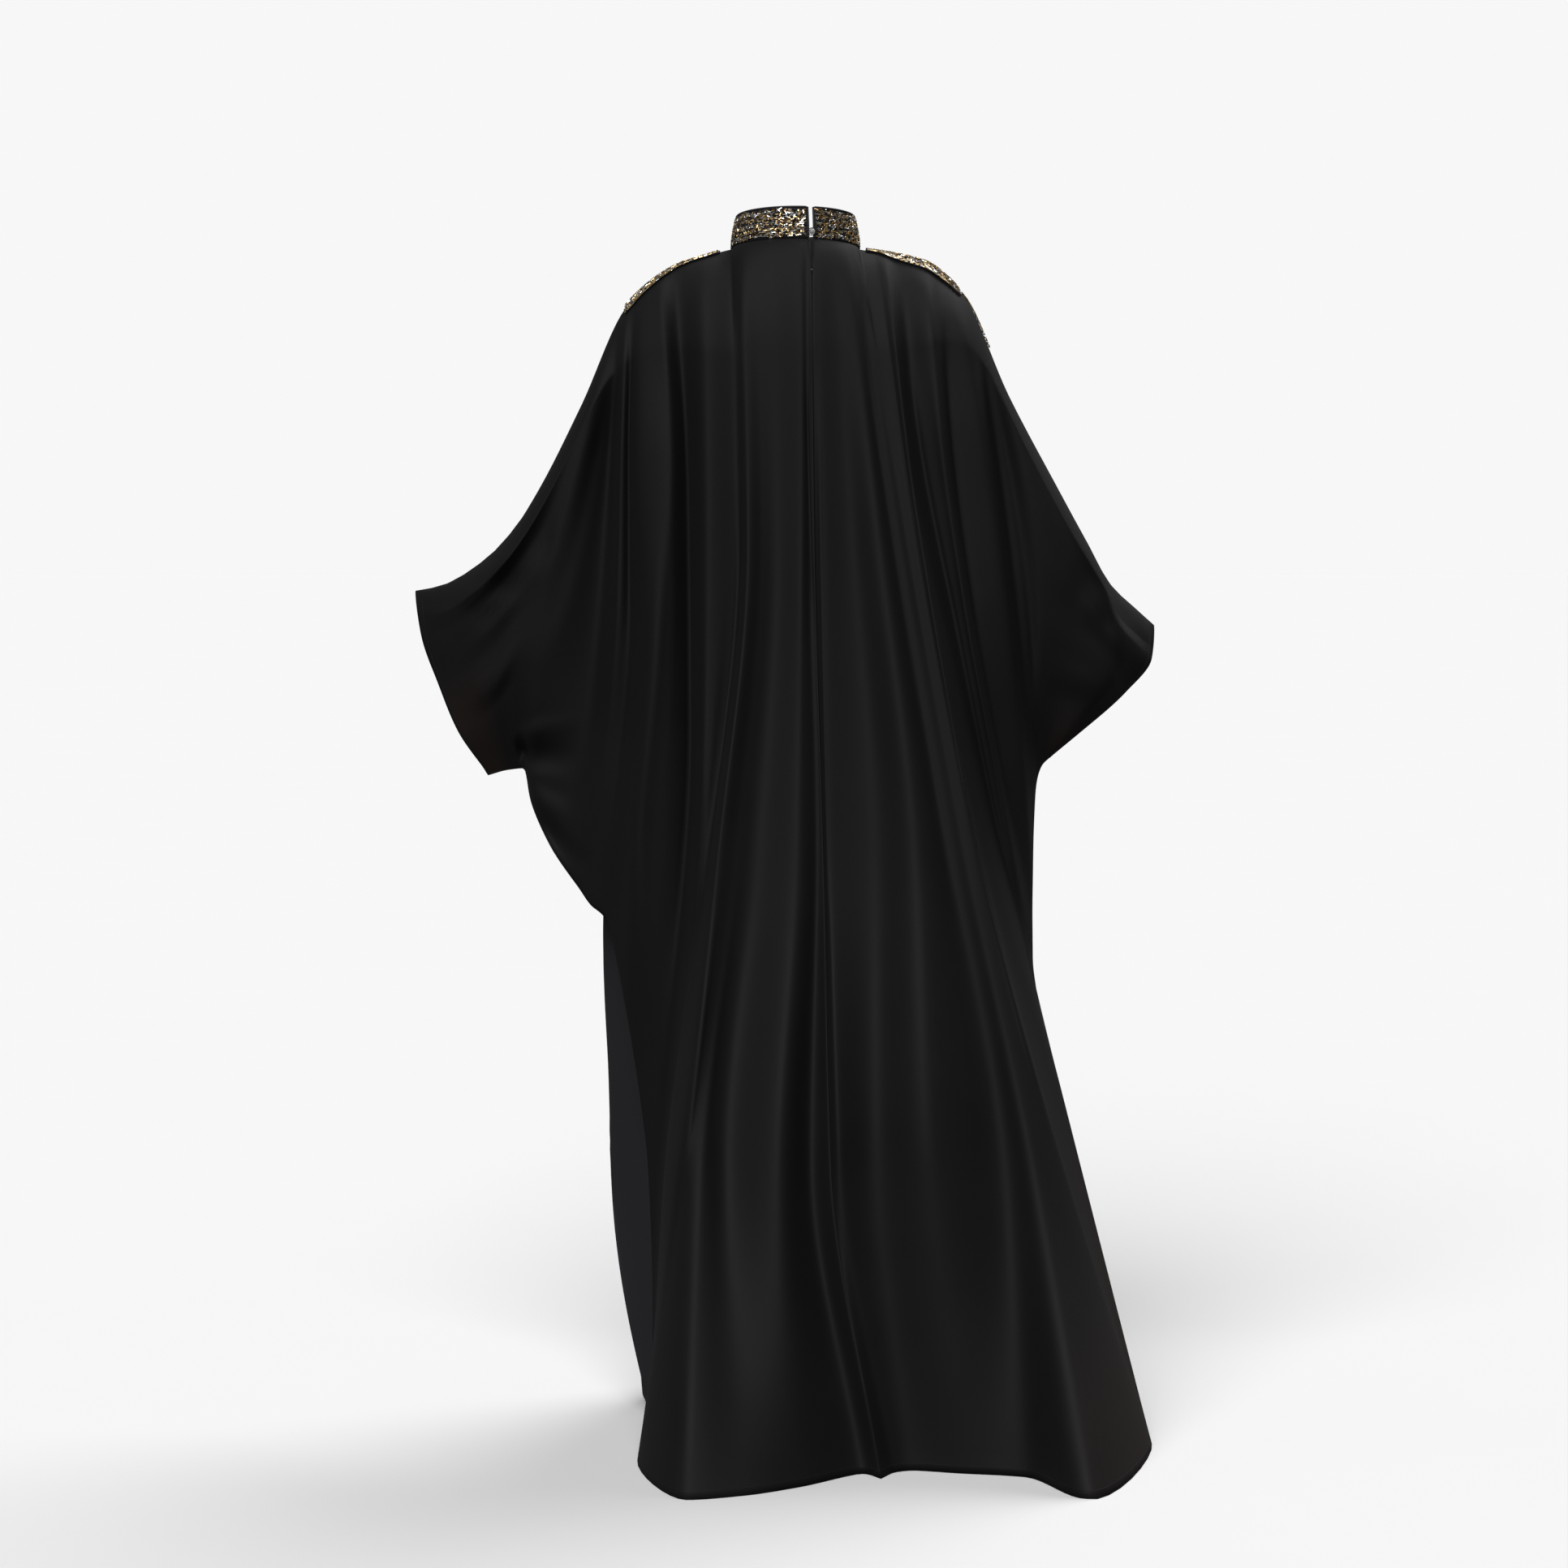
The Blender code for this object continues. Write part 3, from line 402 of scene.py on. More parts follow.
class KaftanBeads(bpy.types.PropertyGroup):
    """Sizes and colours of the beadwork"""
    gold: FloatVectorProperty(
        name="Gold", description="Colour of the gold beads", subtype="COLOR", size=3, min=0, max=1,
        default=(0.66, 0.49, 0.24))
    bronze: FloatVectorProperty(
        name="Bronze", description="Colour of the bronze beads", subtype="COLOR", size=3, min=0, max=1,
        default=(0.30, 0.19, 0.09))
    silver: FloatVectorProperty(
        name="Silver", description="Colour of the silver beads", subtype="COLOR", size=3, min=0, max=1,
        default=(0.84, 0.82, 0.83))
    black: FloatVectorProperty(
        name="Black", description="Colour of the black beads", subtype="COLOR", size=3, min=0, max=1,
        default=(0.010, 0.009, 0.010))
    sequin: FloatProperty(
        name="Sequin", description="Radius of a sequin", unit="LENGTH", default=0.0016, min=0.0005, max=0.005)
    bugle: FloatProperty(
        name="Bugle bead", description="Length of a bugle bead", unit="LENGTH", default=0.0042, min=0.001,
        max=0.01)
    seed: FloatProperty(
        name="Seed bead", description="Radius of a seed bead", unit="LENGTH", default=0.0010, min=0.0004,
        max=0.003)
    bands: IntProperty(
        name="Bands", description="Wavy bands of beadwork up the collar", default=5, min=2, max=9)


class KaftanStudio(bpy.types.PropertyGroup):
    """Light and floor of the studio"""
    floor: FloatVectorProperty(
        name="Floor", description="Colour of the floor", subtype="COLOR", size=3, min=0, max=1,
        default=(0.93, 0.93, 0.93))
    key: FloatProperty(
        name="Key light", description="Strength of the soft light beside the camera", default=2.6, min=0)
    top: FloatProperty(
        name="Top light", description="Strength of the soft light above and beyond the garment",
        default=1.4, min=0)
    surround: FloatProperty(
        name="Surround", description="Brightness of the pale surround as it is seen", default=0.93, min=0,
        max=5)
    fill: FloatProperty(
        name="Fill", description="Brightness of the light that the surround gives", default=0.10, min=0,
        max=5)


def smooth(edge0, edge1, value):
    """Rises from 0 to 1 between two edges."""
    share = min(max((value - edge0) / (edge1 - edge0), 0.0), 1.0)
    return share * share * (3 - 2 * share)


def curve(places, values, at):
    """A smooth curve through values that never overshoots them."""
    count = len(places)
    i = 0
    while i < count - 2 and (at - places[i + 1]) * (places[-1] - places[0]) > 0:
        i += 1

    def step(k):
        return (values[k + 1] - values[k]) / (places[k + 1] - places[k])

    def slope(k):
        if k in (0, count - 1):
            return step(min(k, count - 2))
        before, after = step(k - 1), step(k)
        return 0.0 if before * after <= 0 else 2 * before * after / (before + after)

    width = places[i + 1] - places[i]
    t = min(max((at - places[i]) / width, 0.0), 1.0)
    low = (1 + 2 * t) * (1 - t) ** 2 * values[i] + t * (1 - t) ** 2 * width * slope(i)
    high = t * t * (3 - 2 * t) * values[i + 1] - t * t * (1 - t) * width * slope(i + 1)
    return low + high


def across(side, at, read):
    """The value that read() gives for a line, taken smoothly between lines."""
    lines = SIDES[side]
    first = min(max(int(at) - 1, 0), len(lines) - 1)
    last = min(int(at) + 3, len(lines))
    places = list(range(first, last))
    if len(places) == 1:
        return read(lines[places[0]])
    return curve(places, [read(lines[k]) for k in places], at)


def top_value(side, x, field):
    """A field of the top seam's table at x."""
    rows = TOPS[side]
    return curve([row.x for row in rows], [getattr(row, field) for row in rows], x)


def neck_height(y):
    """Height of the neck ring at a depth."""
    rise = NECK_RISE_BACK if y > 0 else NECK_FALL_FRONT
    return -NECK_RISE_BACK + rise * y / NECK_DEEP


def neck_depth(x):
    """Depth of the neck ring's back half at x."""
    return NECK_DEEP * math.sqrt(max(1 - (x / NECK_WIDE) ** 2, 0))


def top_point(side, face, at):
    """Where a line starts: on the neck ring, or on the shoulder and arm seam."""
    x = across(side, at, lambda line: line.top)
    if at < NECK_LINE[side]:
        if face == "front":
            turn = math.pi / 2 * at / NECK_LINE[side]
            x = SIGNS[side] * NECK_WIDE * math.sin(turn)
            y = -NECK_DEEP * math.cos(turn)
        else:
            y = neck_depth(x)
        return x, y, neck_height(y)
    return x, top_value(side, x, "y"), top_value(side, x, "z")


def end_point(side, face, at):
    """Where a line ends: on the hem, or on the side and under-sleeve seam."""
    if face == "front" and at < HEM_LINE[side]:
        corners = FRONT_HEMS[side]
        share = at / HEM_LINE[side]
        places = [k / (len(corners) - 1) for k in range(len(corners))]
        x = curve(places, [corner[0] for corner in corners], share)
        y = curve(places, [corner[1] for corner in corners], share)
        return x, y, FRONT_HEM + (FLOOR - FRONT_HEM) * smooth(0.8, 1.0, share)
    x, y, z = (across(side, at, lambda line: getattr(line, field)) for field in ("end", "y_end", "end_z"))
    lobe, corner = TRAIN_LINES
    if side == "right" and lobe < at < corner:
        y += TRAIN_ROUND * math.sin(math.pi * (at - lobe) / (corner - lobe))
    return x, y, z


def rounding(share):
    """How far the cloth has rounded over the shoulder or arm, from 0 at the seam to 1."""
    return math.sqrt(max(1 - (1 - share) ** 2, 0)) * ROUND_SHARE + share * (1 - ROUND_SHARE)


def seam_round(side, at, v):
    """How far the cloth rounds out just beside the side and under-sleeve seams."""
    last = len(SIDES[side]) - 1
    near = smooth(HEM_LINE[side] - 1, HEM_LINE[side], at) * smooth(last, last - CUFF_EASES, at)
    return SEAM_ROUND * near * math.sqrt(max(1 - v ** SEAM_SHARP, 0)) * smooth(0, SEAM_GROWS, v)


def front_relief(side, at, v):
    """How far the front's folds stand forward at a point."""
    total = 0.0
    for fold in FRONT_FOLDS:
        if fold.side != side:
            continue
        centre = fold.top + (fold.end - fold.top) * v
        off = abs(at - centre) / fold.width
        if off < 1:
            total += fold.depth * (1 - smooth(0, 1, off)) * smooth(fold.begins, fold.begins + FOLD_GROWS, v)
    if at > HEM_LINE[side] - 1:
        total *= 1 - v ** FOLD_SIDE_EASE
    return total


def tuck(side, at, v):
    """The left sleeve's tuck, a trough that runs in and up from the seam."""
    if side != "left":
        return 0.0
    inward = (TUCK_SEAM - at) / TUCK_REACH
    if not 0 <= inward <= 1:
        return 0.0
    centre = TUCK_LOW - TUCK_RISE * inward
    off = abs(v - centre) / TUCK_WIDTH
    fade = (1 - inward) * smooth(0, TUCK_EDGE, inward) * smooth(1, 1 - TUCK_EDGE, v)
    return -TUCK_DEPTH * (1 - smooth(0, 1, off)) * fade


def crease_relief(creases, at, v):
    """How far the finer creases stand out of the cloth at a point."""
    total = 0.0
    for crease in creases:
        if not crease.begins < v < crease.stops:
            continue
        share = (v - crease.begins) / (crease.stops - crease.begins)
        off = (at - crease.top - (crease.end - crease.top) * share) / crease.width
        off /= 1 + crease.lean if off > 0 else 1 - crease.lean
        if abs(off) < 1:
            fade = smooth(0, CREASE_GROWS, share) * smooth(1, CREASE_FADES, share)
            total += crease.depth * (1 - smooth(0, 1, abs(off))) * fade
    return total


def sweep_relief(sweeps, at, v):
    """How far the sweeping folds stand out of the cloth at a point."""
    total = 0.0
    for sweep in sweeps:
        share = (sweep.at_seam - at) / (sweep.at_seam - sweep.at_in)
        if 0 < share < 1:
            off = abs(v - sweep.v_seam - (sweep.v_in - sweep.v_seam) * share) / sweep.width
            if off < 1:
                fade = smooth(0, SWEEP_DEEPEST, share) * smooth(1, SWEEP_DEEPEST, share)
                total += sweep.depth * (1 - smooth(0, 1, off)) * fade * smooth(1, SWEEP_EDGE, v)
    return total


class Drop:
    """One line down a panel's face, with all that stays the same from row to row."""

    def __init__(self, side, face, at):
        def read(field):
            return across(side, at, lambda line: getattr(line, field))

        self.side, self.face, self.at = side, face, at
        self.top, self.end = top_point(side, face, at), end_point(side, face, at)
        self.length = self.top[2] - self.end[2]
        seam_x = read("top")
        self.round = top_value(side, seam_x, "drop") / self.length
        self.widths = [self.top[0], read("upper"), read("middle"), read("lower"), self.end[0]]
        self.depths = [read("y_upper"), read("y_middle"), read("y_lower"), self.end[1]]
        self.start = top_value(side, seam_x, face) + (read("start") if face == "back" else 0)
        self.bow, self.bulge = read("bow"), read("bulge")
        self.follows = smooth(HEM_LINE[side] + FOLLOWS[0], HEM_LINE[side] + FOLLOWS[1], at)
        self.creases = [crease for crease in CREASES if crease.side == side and crease.face == face]
        self.sweeps = [sweep for sweep in SWEEPS if sweep.side == side and sweep.face == face]

    def plain_point(self, v):
        """A point of the panel's main form. v is the share of the drop."""
        side, at = self.side, self.at
        x0, y0, z0 = self.top
        x1, y1, z1 = self.end
        z = z0 - self.length * v
        shared_x = curve([0, .25, .5, .75, 1], self.widths, v)
        if self.face == "back":
            begin = min(self.round, MOST_ROUNDED)
            if v < begin:
                y = y0 + (self.start - y0) * rounding(v / begin)
            else:
                y = curve([begin, .25, .5, .75, 1], [self.start, *self.depths], v)
            return Vector((shared_x, y + tuck(side, at, v) + seam_round(side, at, v), z))
        x = x0 + (x1 - x0) * v + self.bow * math.sin(math.pi * v ** 2)
        x += self.follows * (shared_x - x)
        if v < self.round:
            y = y0 + (self.start - y0) * rounding(v / self.round)
        else:
            y = self.start + (y1 - self.start) * (v - self.round) / (1 - self.round)
        forward = max(math.sin(math.pi * v ** BULGE_HIGH), 0) ** BULGE_BLUNT
        y -= self.bulge * forward * smooth(0, MOST_ROUNDED, v)
        return Vector((x, y - front_relief(side, at, v) + tuck(side, at, v) - seam_round(side, at, v), z))

    def point(self, v):
        """A point of the panel with its finer creases, its hem and its dip into the centre-back seam."""
        point = self.plain_point(v)
        out = crease_relief(self.creases, self.at, v) + sweep_relief(self.sweeps, self.at, v)
        to_hem = (1 - v) * self.length
        if self.at < HEM_LINE[self.side]:
            out += HEM_RISE * smooth(HEM_WIDE * HEM_EASE, HEM_WIDE, to_hem)
        if self.face == "back" and self.at < 1:
            out -= SEAM_DIP * smooth(SEAM_DIP_WIDE, 0, self.at)
        point.y += out if self.face == "back" else -out
        return point


def columns(side, face):
    """Where a panel's columns stand, in lines from the centre."""
    strips = STRIPS[face]
    return [k / strips for k in range((len(SIDES[side]) - 1) * strips + 1)]


def row_shares(drop, lower_rows):
    """The shares of the drop at which a column has its rows."""
    rounded = min(drop.round, MOST_ROUNDED)
    shares = [rounded * (k / TOP_ROWS) ** TOP_CROWD for k in range(TOP_ROWS + 1)]
    return shares + [min(rounded + (1 - rounded) * (k + 1) / lower_rows, 1.0) for k in range(lower_rows)]


def half_panel(side, face):
    """The outer points of one half panel, column by column from the centre."""
    grid = []
    for at in columns(side, face):
        drop = Drop(side, face, at)
        points = [drop.point(v) for v in row_shares(drop, LOWER_ROWS[face])]
        turn = 1 if face == "back" else -1
        if at >= NECK_LINE[side]:
            points[0].y += turn * SEAM_GAP / 2
        if at >= HEM_LINE[side]:
            points[-1].y += turn * SEAM_GAP / 2
        grid.append(points)
    return grid


def opened_centre(side, point):
    """Moves a point of the centre-back seam out to its panel's edge, and to the slit's edge at the top."""
    gap = SEAM_GAP / 2 + SLIT_HALF * max(1 + point.z / SLIT_LENGTH, 0)
    return point + Vector((SIGNS[side] * gap, 0, 0))


def single_layer(side, face, at, v):
    """How much painted backlight the cloth gets, from 0 to 1, where only one layer hangs."""
    return max(layer.most * smooth(layer.begins, layer.full, at) * smooth(layer.ends, layer.fades, at)
               * smooth(layer.high, layer.low, v)
               for layer in PAINTED_BACKLIGHTS if side in layer.sides and face in layer.faces)


def single_shares(side, face):
    """That value at each point of a half panel, column by column from the centre."""
    rows = TOP_ROWS + LOWER_ROWS[face]
    return [[single_layer(side, face, at, row / rows) for row in range(rows + 1)]
            for at in columns(side, face)]


def link(name, mesh):
    """Puts a mesh or a curve into the scene as an object at the origin."""
    made = bpy.data.objects.new(name, mesh)
    bpy.context.scene.collection.objects.link(made)
    return made


def finish_piece(piece, slot, *nodes):
    """Says what a finished piece rides on and which solids it stands for. The slot is not used."""
    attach(piece, "root")
    if nodes:
        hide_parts(*nodes)
    return piece


def mesh_of(name, bm, *finishes):
    """A mesh from a bmesh that is done, with its finishes."""
    mesh = bpy.data.meshes.new(name)
    bm.to_mesh(mesh)
    bm.free()
    for finish in finishes:
        mesh.materials.append(finish)
    return mesh


def lay_cloth(name, grid, finish, thickness, singles=None):
    """A sheet made from a flat grid whose points are laid on the cloth, with its cut kept as a UV map and its
    share of painted backlight at each point.
    """
    wide, tall = len(grid), len(grid[0])
    bm = bmesh.new()
    cut = bm.loops.layers.uv.new("cut")
    # The share of painted backlight at each point, read by the crepe
    single = bm.verts.layers.float.new("single")
    verts = bmesh.ops.create_grid(bm, x_segments=wide - 1, y_segments=tall - 1, size=0.5)["verts"]
    verts.sort(key=lambda vert: (round((vert.co.x + 0.5) * (wide - 1)),
                                 -round((vert.co.y + 0.5) * (tall - 1))))
    middle = tall // 2
    along, flat = 0.0, {}
    for i, column in enumerate(grid):
        if i:
            along += (column[middle] - grid[i - 1][middle]).length
        down = 0.0
        for j, point in enumerate(column):
            if j:
                down += (point - column[j - 1]).length
            vert = verts[i * tall + j]
            vert.co = point
            flat[vert] = (along, down)
            if singles:
                vert[single] = singles[i][j]
    for face in bm.faces:
        for loop in face.loops:
            loop[cut].uv = flat[loop.vert]
    mesh = mesh_of(name, bm, finish)
    mesh.shade_smooth()
    made = link(name, mesh)
    shell = made.modifiers.new("thickness", "SOLIDIFY")
    shell.thickness = thickness
    shell.offset = -1
    shell.use_quality_normals = True
    return made


def node(tree, kind, **settings):
    """A shader node with its settings."""
    made = tree.nodes.new(kind)
    for name, value in settings.items():
        setattr(made, name, value)
    return made


def new_material(name, **sockets):
    """A material whose Principled shader has the given socket values."""
    made = bpy.data.materials.new(name)
    made.use_nodes = True
    shader = made.node_tree.nodes["Principled BSDF"]
    for socket, value in sockets.items():
        shader.inputs[socket.replace("_", " ")].default_value = value
    return made, made.node_tree, shader


def mixed(tree, first, second, share):
    """A mix of two colours, each a value or a socket, by a socket. Gives the mixed colour."""
    mix = node(tree, "ShaderNodeMix", data_type="RGBA")
    sockets = {socket.identifier: socket for socket in mix.inputs}
    for name, colour in (("A_Color", first), ("B_Color", second)):
        if isinstance(colour, bpy.types.NodeSocket):
            tree.links.new(colour, sockets[name])
        else:
            sockets[name].default_value = (*colour, 1)
    tree.links.new(share, sockets["Factor_Float"])
    return next(socket for socket in mix.outputs if socket.identifier == "Result_Color")


def object_place(tree):
    """The place on the object, as a pattern's coordinates."""
    return node(tree, "ShaderNodeTexCoord").outputs["Object"]


def pattern(tree, kind, place, settings=None, **sockets):
    """A pattern at the given coordinates, with the given socket values. Gives its grey value."""
    made = node(tree, kind, **(settings or {}))
    for name, value in sockets.items():
        made.inputs[name].default_value = value
    tree.links.new(place, made.inputs["Vector"])
    return made.outputs["Fac"]


def ranged(tree, share, low, high):
    """A value that goes from low to high as a socket goes from 0 to 1."""
    made = node(tree, "ShaderNodeMapRange")
    made.inputs["To Min"].default_value = low
    made.inputs["To Max"].default_value = high
    tree.links.new(share, made.inputs["Value"])
    return made.outputs["Result"]


def crepe():
    """Matte black crepe: a fine uneven weave, a soft sheen, and a browner colour painted in where one layer
    hangs, for the light shining through it.
    """
    cloth = bpy.context.scene.kaftan_cloth
    made, tree, shader = new_material("crepe", Roughness=cloth.roughness, Specular_IOR_Level=0.14,
                                      Sheen_Weight=0.01, Sheen_Roughness=0.45)
    shader.inputs["Sheen Tint"].default_value = (0.80, 0.82, 0.90, 1)
    place = object_place(tree)
    patches = pattern(tree, "ShaderNodeTexNoise", place, Scale=9.0, Detail=4.0)
    lighter = tuple(c * PATCH_TONE for c in cloth.colour)
    base = mixed(tree, tuple(cloth.colour), lighter, patches)
    # Where one layer hangs, a browner colour is painted in for light shining through the cloth
    single = node(tree, "ShaderNodeAttribute", attribute_name="single").outputs["Fac"]
    tree.links.new(mixed(tree, base, tuple(cloth.single_colour), single), shader.inputs["Base Color"])
    low, high = (cloth.roughness + more for more in PATCH_ROUGHNESS)
    tree.links.new(ranged(tree, patches, low, high), shader.inputs["Roughness"])
    total = pattern(tree, "ShaderNodeTexNoise", place, Scale=1 / (cloth.thread * GRAIN_SIZE), Detail=3.0)
    flat = node(tree, "ShaderNodeUVMap", uv_map="cut").outputs["UV"]
    for direction in ("X", "Y"):
        weave = pattern(tree, "ShaderNodeTexWave", flat, {"bands_direction": direction},
                        Scale=WAVE_PERIOD / cloth.thread, Distortion=1.2)
        add = node(tree, "ShaderNodeMath", operation="ADD")
        tree.links.new(total, add.inputs[0])
        tree.links.new(weave, add.inputs[1])
        total = add.outputs[0]
    bump = node(tree, "ShaderNodeBump")
    bump.inputs["Strength"].default_value = 0.35
    bump.inputs["Distance"].default_value = cloth.thread * WEAVE_HEIGHT
    tree.links.new(total, bump.inputs["Height"])
    tree.links.new(bump.outputs["Normal"], shader.inputs["Normal"])
    return made


def bead_finish(name, colour, metallic, roughness):
    """A foil-backed sequin or bead: each piece a little lighter or darker, with fine scratches."""
    made, tree, shader = new_material(name, Metallic=metallic, Specular_IOR_Level=0.6, Coat_Weight=0.3)
    shader.inputs["Coat Roughness"].default_value = 0.05
    patches = pattern(tree, "ShaderNodeTexNoise", object_place(tree), Scale=420.0, Detail=1.0)
    dark, light = (tuple(min(c * tone, 1) for c in colour) for tone in BEAD_TONES)
    tree.links.new(mixed(tree, dark, light, patches), shader.inputs["Base Color"])
    low, high = (roughness * share for share in BEAD_ROUGHNESS)
    tree.links.new(ranged(tree, patches, low, high), shader.inputs["Roughness"])
    return made


def bead_finishes():
    """The four finishes of the beadwork, made once."""
    beads = bpy.context.scene.kaftan_beads
    return [bpy.data.materials.get(f"{name}_beads")
            or bead_finish(f"{name}_beads", tuple(getattr(beads, name)), metallic, roughness)
            for name, (metallic, roughness) in BEAD_FINISHES.items()]


def thread_finish():
    """Black sewing thread with a twist along it."""
    found = bpy.data.materials.get("black_thread")
    if found:
        return found
    made, tree, shader = new_material("black_thread", Roughness=0.6, Specular_IOR_Level=0.3)
    twist = pattern(tree, "ShaderNodeTexWave", object_place(tree), {"bands_direction": "DIAGONAL"},
                    Scale=900.0)
    tree.links.new(mixed(tree, (0.010, 0.010, 0.011), (0.030, 0.030, 0.034), twist),
                   shader.inputs["Base Color"])
    return made


def small_mesh(name, make):
    """A small shape that is placed many times."""
    bm = bmesh.new()
    make(bm)
    return mesh_of(name, bm)


def small_shapes():
    """The sequin, the bugle bead and the seed bead, with their back at the origin, and the stitch, with its
    centre there. All lie along X."""
    beads = bpy.context.scene.kaftan_beads
    length = bpy.context.scene.kaftan_cloth.stitch
    lying = Matrix.Rotation(math.pi / 2, 4, "Y")

    def sequin(bm):
        bmesh.ops.create_cone(bm, cap_ends=True, segments=7, radius1=beads.sequin,
                              radius2=beads.sequin * SEQUIN_RAISED, depth=SEQUIN_THICK,
                              matrix=Matrix.Translation((0, 0, SEQUIN_THICK / 2)))

    def bugle(bm):
        radius = beads.bugle * BUGLE_SLIM
        bmesh.ops.create_cone(bm, cap_ends=True, segments=6, radius1=radius, radius2=radius,
                              depth=beads.bugle, matrix=Matrix.Translation((0, 0, radius)) @ lying)

    def seed(bm):
        bmesh.ops.create_icosphere(bm, subdivisions=1, radius=beads.seed,
                                   matrix=Matrix.Translation((0, 0, beads.seed)))

    def stitch(bm):
        bmesh.ops.create_cone(bm, cap_ends=True, segments=5, radius1=STITCH_RADIUS, radius2=STITCH_RADIUS,
                              depth=length, matrix=lying)

    return {make.__name__: small_mesh(make.__name__, make) for make in (sequin, bugle, seed, stitch)}


def stand_on(point, normal, along):
    """A matrix that stands a small shape on a point, its Z along the normal and its X along a direction."""
    side = normal.cross(along).normalized()
    front = side.cross(normal).normalized()
    return Matrix.Translation(point) @ Matrix((front, side, normal)).transposed().to_4x4()


class BeadWork:
    """Collects many small shapes into one joined mesh."""

    def __init__(self, name, seed=0):
        self.name = name
        self.bm = bmesh.new()
        self.shapes = small_shapes()
        self.random = random.Random(seed)

    def add(self, shape, matrix, finish):
        """Adds one shape with the finish of that number."""
        copy = self.shapes[shape].copy()
        copy.transform(matrix)
        first = len(self.bm.faces)
        self.bm.from_mesh(copy)
        self.bm.faces.ensure_lookup_table()
        for k in range(first, len(self.bm.faces)):
            self.bm.faces[k].material_index = finish
        bpy.data.meshes.remove(copy)

    def pick(self, shares):
        """Draws a number with the given shares."""
        return self.random.choices(range(len(shares)), shares)[0]

    def finish(self, slot, finishes):
        """Makes the piece."""
        for shape in self.shapes.values():
            bpy.data.meshes.remove(shape)
        finish_piece(link(self.name, mesh_of(self.name, self.bm, *finishes)), slot)


def collar_turns():
    """The turns about the neck at which the collar's left and right ends stand, measured from the back."""
    centre = LEFT[0].top
    left = math.asin((centre + COLLAR_END_GAP) / NECK_WIDE)
    right = math.asin((centre - COLLAR_END_GAP) / NECK_WIDE) + 2 * math.pi
    return left, right


def collar_point(share, height):
    """A point of the collar's outer face and its normal. share runs from the left end round to the right."""
    left, right = collar_turns()
    turn = left + (right - left) * share
    x, y = NECK_WIDE * math.sin(turn), NECK_DEEP * math.cos(turn)
    out = Vector((x / NECK_WIDE ** 2, y / NECK_DEEP ** 2, 0)).normalized()
    swell = 4 * COLLAR_SWELL * height * (1 - height)
    base = Vector((x, y, neck_height(y) + SEAM_GAP))
    point = base + Vector((0, 0, COLLAR_HEIGHT * height)) + out * (swell - COLLAR_LEAN * height)
    return point, (out + Vector((0, 0, COLLAR_TILT))).normalized()


def thread_curve(name, points, radius, finish):
    """A round thread or binding along points."""
    line = bpy.data.curves.new(name, "CURVE")
    line.dimensions = "3D"
    line.bevel_depth = radius
    line.bevel_resolution = 3
    line.use_fill_caps = True
    spline = line.splines.new("POLY")
    spline.points.add(len(points) - 1)
    for place, point in zip(spline.points, points):
        place.co = (*point, 1.0)
    line.materials.append(finish)
    return link(name, line)


class KAFTAN_OT_back_panels(bpy.types.Operator):
    """Makes the two back panels, which part at the slit and meet at the centre-back seam"""
    bl_idname = "kaftan.back_panels"
    bl_label = "Back panels"

    def execute(self, context):
        cloth = context.scene.kaftan_cloth
        finish = crepe()
        for side in SIDES:
            # shares: how much painted backlight each point of the half panel gets
            grid, shares = half_panel(side, "back"), single_shares(side, "back")
            grid[0] = [opened_centre(side, point) for point in grid[0]]
            if side == "left":
                grid, shares = grid[::-1], shares[::-1]
            panel = lay_cloth(f"back_{side}_cloth", grid, finish, cloth.thickness, shares)
            finish_piece(panel, "crepe", f"back_{side}")
        return {"FINISHED"}


class KAFTAN_OT_front_panel(bpy.types.Operator):
    """Makes the front, cut in one piece with the fronts of both sleeves"""
    bl_idname = "kaftan.front_panel"
    bl_label = "Front panel"

    def execute(self, context):
        grid = half_panel("right", "front")[:0:-1] + half_panel("left", "front")
        # shares: how much painted backlight each point of the front gets
        shares = single_shares("right", "front")[:0:-1] + single_shares("left", "front")
        panel = lay_cloth("front_cloth", grid, bpy.data.materials["crepe"],
                          context.scene.kaftan_cloth.thickness, shares)
        finish_piece(panel, "crepe", "front")
        return {"FINISHED"}


